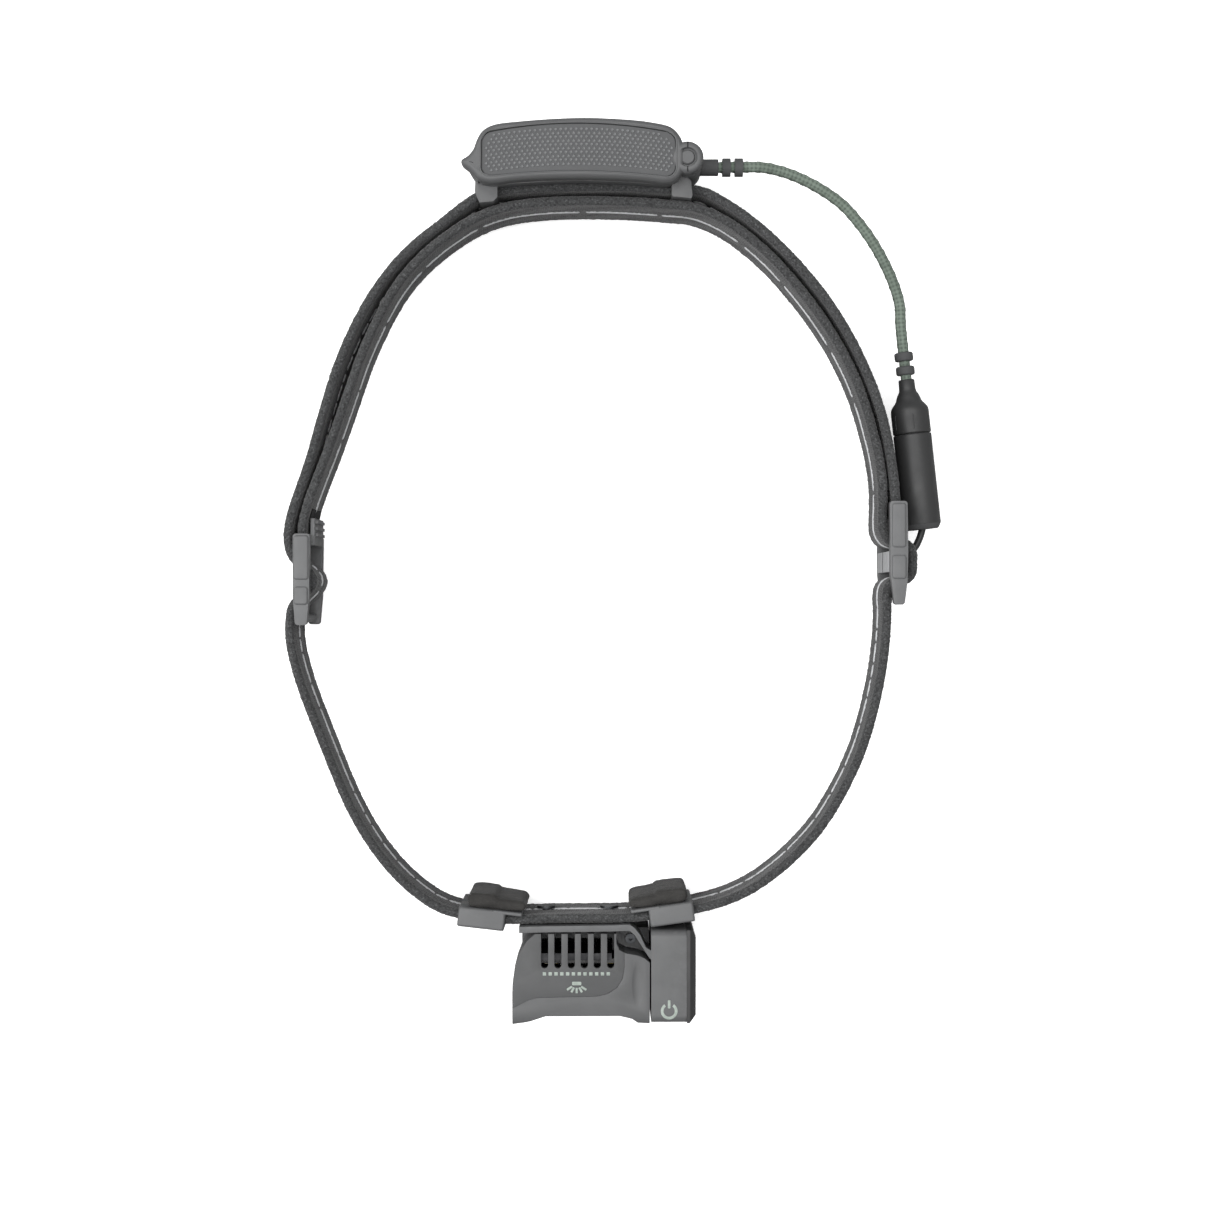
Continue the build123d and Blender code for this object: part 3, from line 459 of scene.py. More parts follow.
def plastic(name, v, rough=0.5, var=0.035, grain=0.18, grain_scale=2600.0, tint=COOL, metallic=0.0, spec=0.4, wear=True):
    M = Mat(name)
    c = tone(v, tint)
    n1 = M.noise(38.0, 4.0)
    col = M.ramp(n1, [(0.3, scaled(c, 1 - var)), (0.55, c), (0.75, scaled(c, 1 + var))])
    if wear:
        geo = M.node("ShaderNodeNewGeometry")
        edge = M.maprange(geo.outputs["Pointiness"], 0.56, 0.68, 0.0, 0.3)
        breakup = M.maprange(M.noise(520.0, 4.0), 0.45, 0.62, 0.0, 1.0)
        col = M.mix(M.math("MULTIPLY", edge, breakup), col, scaled(c, 1.55))
    rn = M.noise(180.0, 3.0)
    r = M.maprange(rn, 0.3, 0.7, max(0.05, rough - 0.09), min(1.0, rough + 0.09))
    g = M.noise(grain_scale, 2.0, 0.6)
    g2 = M.noise(grain_scale * 0.17, 3.0, 0.5)
    h = M.math("ADD", M.math("MULTIPLY", g, 0.7), M.math("MULTIPLY", g2, 0.3))
    M.set(col, r, M.bump(h, grain, 0.0001), metallic, IOR=1.46, Specular_IOR_Level=spec)
    return M.m


def metal(name, base, rough=0.3, var=0.1, brushed=False):
    M = Mat(name)
    vec = M.mapping((1, 1, 30) if brushed else (1, 1, 1))
    n = M.noise(600.0, 3.0, vec=vec)
    col = M.ramp(n, [(0.3, scaled(base, 1 - var)), (0.7, scaled(base, 1 + var * 0.6))])
    r = M.maprange(M.noise(260.0, 3.0), 0.3, 0.7, rough - 0.08, rough + 0.12)
    M.set(col, r, M.bump(M.noise(3000.0, 2.0), 0.1, 0.00005), 1.0)
    return M.m


def weave_mat(name, v, pitch_u=0.0013, pitch_v=0.0011, tint=COOL, var=0.12, depth=0.00012, src="UV"):
    """Woven webbing: u along the strap, v across it, both in metres."""
    M = Mat(name)
    sep = M.node("ShaderNodeSeparateXYZ")
    M.link(M.tc.outputs[src], sep.inputs[0])
    u, w = sep.outputs[0], sep.outputs[1]
    su = M.math("SINE", M.math("MULTIPLY", u, 2 * math.pi / pitch_u))
    sv = M.math("SINE", M.math("MULTIPLY", w, 2 * math.pi / pitch_v))
    basket = M.math("MULTIPLY", su, sv)
    fine = M.noise(5200.0, 2.0)
    weave = M.math("ADD", M.math("MULTIPLY", basket, 0.5), 0.5)
    h = M.math("ADD", weave, M.math("MULTIPLY", fine, 0.8))
    c = tone(v, tint)
    n1 = M.noise(70.0, 4.0)
    base = M.ramp(n1, [(0.3, scaled(c, 1 - var)), (0.7, scaled(c, 1 + var))])
    # the weave valleys are darkened towards half tone: painted shade in the recesses between the yarns
    dark = M.mix(M.maprange(weave, 0.0, 0.6, 0.55, 0.0), base, scaled(c, 0.5))
    fibre = M.maprange(fine, 0.55, 0.8, 0.0, 0.35)
    col = M.mix(fibre, dark, scaled(c, 1.7))
    yarn = M.noise(1500.0, 1.0)
    col = M.mix(M.maprange(yarn, 0.36, 0.5, 0.75, 0.0), col, scaled(c, 0.38))
    col = M.mix(M.maprange(M.noise(1900.0, 1.0), 0.56, 0.7, 0.0, 0.7), col, scaled(c, 2.1))
    M.set(col, M.maprange(fine, 0.3, 0.7, 0.78, 0.95), M.bump(h, 0.75, depth), 0.0, Specular_IOR_Level=0.2,
          Sheen_Weight=0.15, Sheen_Roughness=0.5)
    return M.m


def foam_mat(name, v, tint=WARM):
    M = Mat(name)
    c = tone(v, tint)
    fuzz = M.noise(2400.0, 4.0, 0.65)
    vor = M.node("ShaderNodeTexVoronoi")
    vor.inputs["Scale"].default_value = 900.0
    M.link(M.tc.outputs["Object"], vor.inputs["Vector"])
    base = M.ramp(M.noise(160.0, 5.0), [(0.3, scaled(c, 0.8)), (0.7, scaled(c, 1.2))])
    col = M.mix(M.maprange(fuzz, 0.5, 0.75, 0.0, 0.4), base, scaled(c, 1.8))
    h = M.math("ADD", fuzz, M.math("MULTIPLY", vor.outputs["Distance"], 0.5))
    M.set(col, M.maprange(fuzz, 0.3, 0.7, 0.85, 1.0), M.bump(h, 0.8, 0.00018), 0.0, Specular_IOR_Level=0.12,
          Sheen_Weight=0.08, Sheen_Roughness=0.4)
    return M.m


def silicone_mat(name, v, tint=COOL, rough=0.42):
    M = Mat(name)
    c = tone(v, tint)
    n = M.noise(900.0, 3.0)
    col = M.ramp(n, [(0.3, scaled(c, 0.85)), (0.7, scaled(c, 1.15))])
    M.set(col, M.maprange(M.noise(400.0), 0.3, 0.7, rough - 0.1, rough + 0.15), M.bump(n, 0.3, 0.00008), 0.0, Specular_IOR_Level=0.5)
    return M.m


def clear_mat(name):
    M = Mat(name)
    n = M.noise(500.0, 3.0)
    M.set(M.ramp(n, [(0.3, (0.93, 0.95, 0.96)), (0.7, (0.98, 0.99, 1.0))]), M.maprange(n, 0.3, 0.7, 0.02, 0.07),
          M.bump(M.noise(240.0), 0.05, 0.0001), 0.0, IOR=1.49)
    M.b.inputs["Transmission Weight"].default_value = 0.96
    return M.m


def led_mat(name):
    M = Mat(name)
    n = M.noise(3000.0, 3.0)
    M.set(M.ramp(n, [(0.3, (0.80, 0.62, 0.10)), (0.7, (0.95, 0.80, 0.25))]), M.maprange(n, 0.3, 0.7, 0.3, 0.5), M.bump(n, 0.3, 0.00005))
    return M.m


def board_mat(name):
    M = Mat(name)
    n = M.noise(120.0, 3.0)
    br = M.node("ShaderNodeTexBrick")
    br.inputs["Scale"].default_value = 320.0
    br.inputs["Color1"].default_value = (0.015, 0.09, 0.045, 1)
    br.inputs["Color2"].default_value = (0.02, 0.12, 0.06, 1)
    br.inputs["Mortar"].default_value = (0.10, 0.22, 0.10, 1)
    M.link(M.tc.outputs["Object"], br.inputs["Vector"])
    M.set(br.outputs[0], M.maprange(n, 0.3, 0.7, 0.3, 0.5), M.bump(br.outputs[1], 0.4, 0.00005))
    return M.m


def wrap_mat(name):
    M = Mat(name)
    sep = M.node("ShaderNodeSeparateXYZ")
    M.link(M.tc.outputs["Object"], sep.inputs[0])
    band = M.maprange(sep.outputs[0], 0.008, 0.0085, 0.0, 1.0)
    n = M.noise(90.0, 3.0)
    base = M.ramp(n, [(0.3, (0.05, 0.055, 0.06)), (0.7, (0.075, 0.08, 0.085))])
    col = M.mix(band, base, (0.17, 0.24, 0.10))
    M.set(col, M.maprange(M.noise(300.0), 0.3, 0.7, 0.2, 0.4), M.bump(n, 0.1, 0.0001), Specular_IOR_Level=0.6)
    return M.m


def braid_mat(name, v, tint):
    M = Mat(name)
    sep = M.node("ShaderNodeSeparateXYZ")
    M.link(M.tc.outputs["UV"], sep.inputs[0])
    a = M.math("SINE", M.math("MULTIPLY", M.math("ADD", M.math("MULTIPLY", sep.outputs[0], 1 / 0.0024), M.math("MULTIPLY", sep.outputs[1], 4.0)), 2 * math.pi))
    b = M.math("SINE", M.math("MULTIPLY", M.math("SUBTRACT", M.math("MULTIPLY", sep.outputs[0], 1 / 0.0024), M.math("MULTIPLY", sep.outputs[1], 4.0)), 2 * math.pi))
    w = M.math("MULTIPLY", M.math("ADD", M.math("MULTIPLY", a, b), 1.0), 0.5)
    n = M.noise(4200.0, 3.0)
    c = tone(v, tint)
    base = M.ramp(M.noise(150.0, 3.0), [(0.3, scaled(c, 0.85)), (0.7, scaled(c, 1.15))])
    # the valleys of the braid are darkened: painted shade between the strands
    col = M.mix(M.maprange(w, 0.0, 0.7, 0.75, 0.0), base, scaled(c, 0.36))
    col = M.mix(M.maprange(n, 0.55, 0.8, 0.0, 0.4), col, scaled(c, 1.9))
    M.set(col, M.maprange(n, 0.3, 0.7, 0.7, 0.95), M.bump(M.math("ADD", w, M.math("MULTIPLY", n, 0.5)), 0.7, 0.00015), Specular_IOR_Level=0.2)
    return M.m


MATS = {
    "webbing": weave_mat("webbing", 85),
    "webbing_edge": weave_mat("webbing_edge", 104, pitch_u=0.0013, pitch_v=0.0013, var=0.1),
    "pad_foam": foam_mat("pad_foam", 74),
    "housing_plastic": plastic("housing_plastic", 110, 0.5),
    "cover_plastic": plastic("cover_plastic", 97, 0.55),
    "bracket_plastic": plastic("bracket_plastic", 114, 0.5),
    "clip_plastic": plastic("clip_plastic", 121, 0.5),
    # darker plastic for the end cap: painted shade standing in for the shade on its steep end facet
    "cap_painted_shade": plastic("cap_painted_shade", 61, 0.5),
    # pale plastic for the inner face of the wide bar: a painted highlight for the light on that face
    "bar_painted_highlight": plastic("bar_painted_highlight", 205, 0.5),
    "adjuster_plastic": plastic("adjuster_plastic", 124, 0.48),
    "box_plastic": plastic("box_plastic", 112, 0.5),
    "gland_rubber": plastic("gland_rubber", 100, 0.7, grain=0.3, spec=0.25, wear=False),
    "grip_rubber": plastic("grip_rubber", 128, 0.75, grain=0.4, spec=0.25, wear=False),
    # the inlay rubber in two tones: a darker floor as painted shade between the drops, paler drops as painted highlight
    "grip_floor_painted_shade": plastic("grip_floor_painted_shade", 117, 0.8, grain=0.4, spec=0.2, wear=False),
    "grip_drops_painted_highlight": plastic("grip_drops_painted_highlight", 156, 0.62, grain=0.25, spec=0.3, wear=False),
    "soft_rubber": plastic("soft_rubber", 62, 0.75, grain=0.3, spec=0.25, wear=False),
    "connector_plastic": plastic("connector_plastic", 68, 0.5, grain=0.06, spec=0.42, wear=False),
    "cable_braid": braid_mat("cable_braid", 156, (0.86, 1.05, 0.88)),
    "wire_jacket": plastic("wire_jacket", 60, 0.4, wear=False),
    "clear_lens": clear_mat("clear_lens"),
    "reflector_chrome": metal("reflector_chrome", (0.86, 0.87, 0.88), 0.12, 0.04),
    "led_phosphor": led_mat("led_phosphor"),
    "board": board_mat("board"),
    "core_board": metal("core_board", (0.16, 0.16, 0.16), 0.5, brushed=True),
    "switch_metal": metal("switch_metal", (0.55, 0.56, 0.57), 0.35),
    "sink_aluminium": metal("sink_aluminium", (0.05, 0.05, 0.052), 0.5, brushed=True),
    "steel": metal("steel", (0.075, 0.078, 0.082), 0.42, brushed=True),
    "pin_plastic": plastic("pin_plastic", 110, 0.5),
    "brass": metal("brass", (0.62, 0.46, 0.20), 0.3),
    "cell_wrap": wrap_mat("cell_wrap"),
    "silicone": silicone_mat("silicone", 250),
    "mint": silicone_mat("mint", 196, (0.90, 1.04, 0.93), 0.5),
    "thread": plastic("thread", 80, 0.8, grain=0.5, spec=0.15, wear=False),
    "seam_dark": plastic("seam_dark", 40, 0.8, wear=False),
}

NODE_SLOT = dict(
    headband_strap="webbing", lamp_lead="wire_jacket", strap_adjuster_right="adjuster_plastic",
    strap_adjuster_left="adjuster_plastic", lamp_bracket="bracket_plastic", bracket_rivets="steel",
    block_end_cap="bracket_plastic", power_button="soft_rubber", button_membrane="soft_rubber",
    tact_switch="switch_metal", driver_board="board", end_cap_screws="steel", band_clip_right="clip_plastic",
    band_clip_left="clip_plastic", forehead_pad_right="pad_foam", forehead_pad_left="pad_foam",
    lamp_housing="housing_plastic", lamp_top_cover="cover_plastic", front_bezel="cover_plastic",
    bezel_gasket="soft_rubber", spot_lens="clear_lens", flood_lens="clear_lens", spot_reflector="reflector_chrome",
    flood_reflector="reflector_chrome", spot_led="led_phosphor", flood_led="led_phosphor", led_board="core_board",
    heat_sink="sink_aluminium", pivot_bush="pin_plastic", pivot_screw="steel", lamp_wires="wire_jacket",
    housing_screws="steel", battery_box="box_plastic", battery_lid="box_plastic", lid_grip_inlay="grip_rubber",
    lid_gasket="soft_rubber", lid_pin="pin_plastic", battery_cells="cell_wrap", contact_springs="brass",
    contact_plates="brass", contact_board="board", cable_gland="gland_rubber", battery_cable="cable_braid",
    plug_body="connector_plastic", plug_pins="brass", plug_seal="soft_rubber", socket_body="connector_plastic",
    socket_contacts="connector_plastic",
)
for nm, ob in NODES.items():
    ob.data.materials.clear()
    ob.data.materials.append(MATS[NODE_SLOT[nm]])


def rounded_copy(node, name, body, width=0.4, seg=3, angle=32.0, mat=None, hide=True):
    """The node's own form with softened edges, ready for more detail."""
    src = NODES[node]
    me = src.data.copy()
    ob = bpy.data.objects.new(name, me)
    bpy.context.scene.collection.objects.link(ob)
    ob.matrix_world = src.matrix_world.copy()
    bm = bmesh.new()
    bm.from_mesh(me)
    bmesh.ops.remove_doubles(bm, verts=bm.verts, dist=2e-6)
    bmesh.ops.dissolve_limit(bm, angle_limit=math.radians(1.5), verts=bm.verts, edges=bm.edges, use_dissolve_boundaries=False)
    bm.to_mesh(me)
    bm.free()
    me.materials.clear()
    me.materials.append(mat or MATS[NODE_SLOT[node]])
    if width > 0:
        bevel(ob, width, seg, angle)
    shade(ob, 38.0)
    if hide:
        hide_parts(node)
    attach(ob, body)
    return ob

RECORD_SLOT = dict(NODE_SLOT)
RECORD_SLOT.update(led_board="board", lamp_bracket="housing_plastic", block_end_cap="housing_plastic", band_clip_right="adjuster_plastic",
                   band_clip_left="adjuster_plastic", cable_gland="soft_rubber")
# --------------------------------------------------------------------------
# measured lines of the object, millimetres
# --------------------------------------------------------------------------
BAND_PATH = [
    (84.75, 13.0), (84.4, 17.0), (83.9, 22.5), (83.0, 29.0), (81.6, 36.5), (79.3, 44.8), (76.4, 52.4),
    (72.9, 60.0), (68.8, 67.3), (63.9, 74.5), (58.3, 81.4), (52.1, 88.0), (45.3, 94.1), (37.6, 99.6),
    (29.6, 103.6), (22.0, 104.0), (10.0, 104.6), (-3.0, 104.8), (-15.0, 104.5), (-26.0, 103.6), (-31.0, 102.9),
    (-36.6, 99.6), (-42.9, 94.6), (-50.1, 89.0), (-56.4, 82.6), (-61.8, 75.4), (-66.3, 67.7), (-70.0, 59.9),
    (-73.0, 52.1), (-75.4, 44.3), (-77.6, 36.8), (-79.6, 29.5), (-82.0, 22.3), (-84.5, 15.1), (-85.9, 9.5),
    (-86.1, 5.0), (-84.8, 1.0), (-82.0, -1.9), (-79.7, -4.0), (-79.1, -5.8), (-79.7, -7.6), (-82.0, -10.0),
    (-84.8, -13.0), (-85.6, -16.5), (-85.5, -22.8), (-83.8, -30.6), (-81.3, -38.3), (-78.4, -45.8), (-75.4, -53.4),
    (-72.2, -61.4), (-68.5, -69.6), (-64.0, -77.6), (-58.5, -85.2), (-51.9, -91.9), (-44.3, -97.2), (-38.1, -99.3),
    (-31.6, -100.3), (-24.9, -100.8), (-12.6, -100.6), (-2.8, -100.5), (7.0, -100.4), (15.4, -99.8), (26.6, -98.2),
    (36.3, -95.7), (44.4, -92.0), (51.6, -86.9), (58.1, -80.9), (63.8, -74.2), (68.4, -66.9), (72.3, -59.3),
    (75.4, -51.6), (77.7, -43.8), (79.5, -36.2), (80.8, -28.6), (81.6, -21.2), (81.9, -14.0), (81.75, -9.6),
    (82.5, -7.0), (85.0, -5.7), (87.6, -5.3), (89.0, -3.4), (89.1, -0.4), (89.0, 2.4), (87.6, 4.4),
    (85.0, 4.8), (82.4, 5.6), (80.9, 7.9), (80.6, 11.0), (80.75, 16.0), (80.6, 22.0), (79.6, 29.2),
    (77.9, 36.3), (75.8, 43.6), (73.1, 50.9), (69.7, 58.0), (65.6, 65.0), (60.9, 71.8), (55.6, 78.4),
    (49.8, 84.8), (43.3, 90.6), (36.0, 95.6), (28.0, 98.9), (20.0, 99.8), (8.0, 100.6), (-3.0, 100.8),
    (-15.0, 100.4), (-25.5, 98.9), (-33.6, 96.0), (-41.2, 91.3), (-48.0, 85.8), (-53.9, 79.4), (-58.7, 72.0),
    (-62.5, 64.4), (-65.8, 56.8), (-68.4, 49.4), (-70.9, 42.2), (-73.3, 35.3), (-75.8, 28.6), (-78.4, 21.9),
    (-80.8, 15.1), (-82.0, 10.0), (-82.15, 5.6),
]

BODY_PLAN = [(-16.7, -104.4), (-19.0, -106.4), (-20.9, -109.3), (-22.3, -113.0), (-23.0, -118.0), (-23.1, -121.0),
             (-23.1, -129.9), (-18.1, -128.9), (-13.9, -127.4), (7.0, -127.3), (10.3, -128.1), (12.0, -129.3),
             (15.3, -129.5), (15.3, -104.4)]
CAVITY_PLAN = [(-15.6, -106.8), (-18.0, -109.0), (-18.4, -115.5), (-21.3, -118.5), (-21.3, -123.2), (13.5, -123.2),
               (13.5, -113.6), (9.0, -111.6), (4.9, -110.0), (4.9, -106.8)]
CAVITY_LOW = [(-15.6, -106.8), (-18.0, -109.0), (-18.4, -115.5), (-21.3, -118.5), (-21.3, -123.2), (13.5, -123.2),
              (13.5, -106.8)]
COVER_PLAN = [(-26.0, -101.0), (-26.0, -125.6), (-23.1, -125.3), (-20.9, -124.1), (-18.5, -122.9), (-16.0, -122.2), (-9.8, -122.0),
              (0.6, -121.8), (3.6, -121.1), (6.2, -119.4), (7.7, -116.9), (8.2, -114.0), (8.3, -101.0)]
SHOULDER_NOTCH = [(6.0, -103.0), (6.0, -107.0), (6.8, -108.9), (8.6, -109.8), (12.2, -110.5), (14.0, -111.3), (15.6, -112.7), (16.5, -112.9), (16.5, -103.0)]
VENT_X = (-14.05, -10.35, -6.6, -2.95, 0.65, 4.4)



CABLE = [(31.0, 111.2, 5.6), (42.0, 111.4, 5.4), (47.3, 111.4, 5.0), (53.1, 110.3, 4.4), (58.9, 108.2, 3.8), (64.7, 105.2, 3.2),
         (70.4, 101.2, 2.6), (74.7, 96.6, 2.1), (78.7, 91.3, 1.6), (82.3, 85.2, 1.1), (85.2, 78.8, 0.7), (86.9, 73.0, 0.4),
         (87.2, 67.3, 0.2), (87.8, 61.4, 0.05), (88.4, 56.0, 0.0), (89.3, 47.5, 0.0)]


PI2 = 2 * math.pi


def grid_mesh(name, V, mat, U=None, W=None, closed=True, caps=True, angle=50.0, extra=None):
    """Surface through a (nu, nv, 3) grid in mm, closed across v, with a UV map in metres."""
    nu, nv = V.shape[:2]
    verts = [tuple(p) for p in (V.reshape(-1, 3) * MM)]
    faces, uvs = [], []
    m = nv if closed else nv - 1
    U = np.arange(nu) * 0.001 if U is None else np.asarray(U) * MM
    W = np.arange(nv + 1) * 0.001 if W is None else np.asarray(W) * MM
    for i in range(nu - 1):
        for j in range(m):
            k = (j + 1) % nv
            faces.append((i * nv + j, (i + 1) * nv + j, (i + 1) * nv + k, i * nv + k))
            uvs += [(U[i], W[j]), (U[i + 1], W[j]), (U[i + 1], W[j + 1]), (U[i], W[j + 1])]
    if caps and closed:
        faces.append(tuple(range(nv)))
        uvs += [(U[0], W[j]) for j in range(nv)]
        faces.append(tuple(range((nu - 1) * nv, nu * nv))[::-1])
        uvs += [(U[-1], W[j]) for j in range(nv)][::-1]
    me = bpy.data.meshes.new(name)
    me.from_pydata(verts, [], faces)
    layer = me.uv_layers.new(name="UVMap")
    layer.data.foreach_set("uv", np.array(uvs, float).ravel())
    ob = bpy.data.objects.new(name, me)
    bpy.context.scene.collection.objects.link(ob)
    bm = bmesh.new()
    bm.from_mesh(me)
    bmesh.ops.recalc_face_normals(bm, faces=bm.faces)
    bm.to_mesh(me)
    bm.free()
    me.materials.append(mat)
    for x in extra or []:
        me.materials.append(x)
    shade(ob, angle)
    return ob


def arc_s(P):
    P = np.asarray(P, float)
    return np.concatenate([[0], np.cumsum(np.linalg.norm(np.diff(P, axis=0), axis=1))])


def frame2d(P):
    """Left-hand unit normals of an open plan path."""
    P = np.asarray(P, float)
    t = np.empty_like(P)
    t[1:-1] = P[2:] - P[:-2]
    t[0], t[-1] = P[1] - P[0], P[-1] - P[-2]
    t /= np.linalg.norm(t, axis=1)[:, None]
    return np.stack([-t[:, 1], t[:, 0]], axis=1)


def even(P, step):
    s = arc_s(P)
    n = int(round(s[-1] / step))
    t = np.linspace(0, s[-1], n + 1)
    P = np.asarray(P, float)
    return np.stack([np.interp(t, s, P[:, k]) for k in range(P.shape[1])], axis=1), t


BAND = np.array(catmull(BAND_PATH, 1.0))
BP, BS = even(BAND, 0.62)
BN = frame2d(BP)


def band_index(x, y):
    return int(np.argmin((BP[:, 0] - x) ** 2 + (BP[:, 1] - y) ** 2))


# webbing: woven, with rolled selvedges at both edges
HT, HH, RC = 1.22, 12.4, 1.05
prof = []
zs = np.arange(-HH + RC, HH - RC + 0.01, 0.62)
for z in zs:
    prof.append((HT, z))
for k in range(1, 6):
    a = math.pi / 2 * k / 5
    prof.append((HT - RC + RC * math.cos(a), HH - RC + RC * math.sin(a)))
for k in range(0, 6):
    a = math.pi / 2 + math.pi / 2 * k / 5
    prof.append((-HT + RC + RC * math.cos(a), HH - RC + RC * math.sin(a)))
for z in zs[::-1][1:]:
    prof.append((-HT, z))
for k in range(1, 6):
    a = math.pi + math.pi / 2 * k / 5
    prof.append((-HT + RC + RC * math.cos(a), -HH + RC + RC * math.sin(a)))
for k in range(0, 5):
    a = 1.5 * math.pi + math.pi / 2 * k / 5
    prof.append((HT - RC + RC * math.cos(a), -HH + RC + RC * math.sin(a)))
prof = np.array(prof)
pn = normals2d(ccw(prof)) if np.allclose(ccw(prof), prof) else -normals2d(prof[::-1])[::-1]
pl_ = np.concatenate([[0], np.cumsum(np.linalg.norm(np.diff(np.vstack([prof, prof[:1]]), axis=0), axis=1))])
nu, nv = len(BP), len(prof)
rs = np.random.RandomState(11)
ii, jj = np.meshgrid(np.arange(nu), np.arange(nv), indexing="ij")
checker = np.where((ii + jj) % 2 == 0, 1.0, -1.0)
sel = np.clip((np.abs(prof[:, 1]) - 9.6) / 1.4, 0, 1)          # selvedge: thicker cord rows
flat = np.abs(prof[:, 1]) < HH - RC
disp = 0.06 * checker + 0.05 * rs.randn(nu, nv) + (0.10 * sel)[None, :] - 0.05
slow = np.interp(BS, np.arange(0, BS[-1] + 9, 9.0), rs.randn(len(np.arange(0, BS[-1] + 9, 9.0)))) * 0.05
off = prof[None, :, 0] + pn[None, :, 0] * disp
zz = prof[None, :, 1] + pn[None, :, 1] * (disp + 0.03) + slow[:, None]
V = np.empty((nu, nv, 3))
V[:, :, 0] = BP[:, None, 0] + BN[:, None, 0] * off
V[:, :, 1] = BP[:, None, 1] + BN[:, None, 1] * off
V[:, :, 2] = zz
webbing = grid_mesh("webbing_band", V, MATS["webbing"], BS, pl_, angle=70.0)
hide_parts("headband_strap")
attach(webbing, "root")

# printed silicone grip line on the head side, broken where the elastic stretches
i_adj_r = band_index(-79.1, -5.8)
i_adj_l = band_index(89.1, -0.4)
grip_parts = []
s_now = 6.0
r2 = random.Random(3)
while s_now < BS[-1] - 8:
    i0 = int(np.searchsorted(BS, s_now))
    if i0 < i_adj_r:
        ln, gap = r2.uniform(1.8, 5.0), r2.uniform(0.5, 1.3)
    elif i0 < i_adj_l:
        ln, gap = r2.uniform(3.0, 9.0), r2.uniform(0.3, 0.5)
    else:
        ln, gap = r2.uniform(12.0, 30.0), r2.uniform(0.8, 3.0)
    i1 = min(int(np.searchsorted(BS, s_now + ln)), len(BP) - 3)
    if i1 - i0 >= 2:
        n = i1 - i0 + 1
        w = 0.48
        ring = np.array([(1.12, -w), (1.42, -w * 0.8), (1.52, -w * 0.3), (1.52, w * 0.3), (1.42, w * 0.8), (1.12, w)])
        seg = np.empty((n, 6, 3))
        jit = np.array([r2.uniform(-0.05, 0.05) for _ in range(n)])
        taper = np.ones(n)
        taper[0] = taper[-1] = 0.6
        for k, (o, z) in enumerate(ring):
            o2 = 1.12 + (o - 1.12) * taper
            seg[:, k, 0] = BP[i0:i1 + 1, 0] + BN[i0:i1 + 1, 0] * o2
            seg[:, k, 1] = BP[i0:i1 + 1, 1] + BN[i0:i1 + 1, 1] * o2
            seg[:, k, 2] = z * taper + jit + 0.3
        grip_parts.append(grid_mesh("g", seg, MATS["silicone"], BS[i0:i1 + 1]))
    s_now += ln + gap
grip = join(grip_parts, "silicone_grip_line")
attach(grip, "root")


def thread_run(points, r=0.17, sag=0.0):
    return tube("t", points, r, MATS["thread"], seg=6)


def band_point(s, off, z):
    i = int(np.clip(np.searchsorted(BS, s), 1, len(BP) - 2))
    return (BP[i, 0] + BN[i, 0] * off, BP[i, 1] + BN[i, 1] * off, z)


# bar tacks where the webbing ends are sewn: a zigzag of thread on each face at each end
tacks = []
for s0, s1 in ((7.0, 10.5), (BS[-1] - 9.5, BS[-1] - 6.0)):
    for side in (1, -1):
        z = -10.0
        flip = False
        pts = []
        while z < 10.0:
            pts.append(band_point(s0 if flip else s1, side * 1.38, z))
            z += 0.55
            flip = not flip
        tacks.append(thread_run(pts))
stitch = join(tacks, "band_stitching")
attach(stitch, "root")


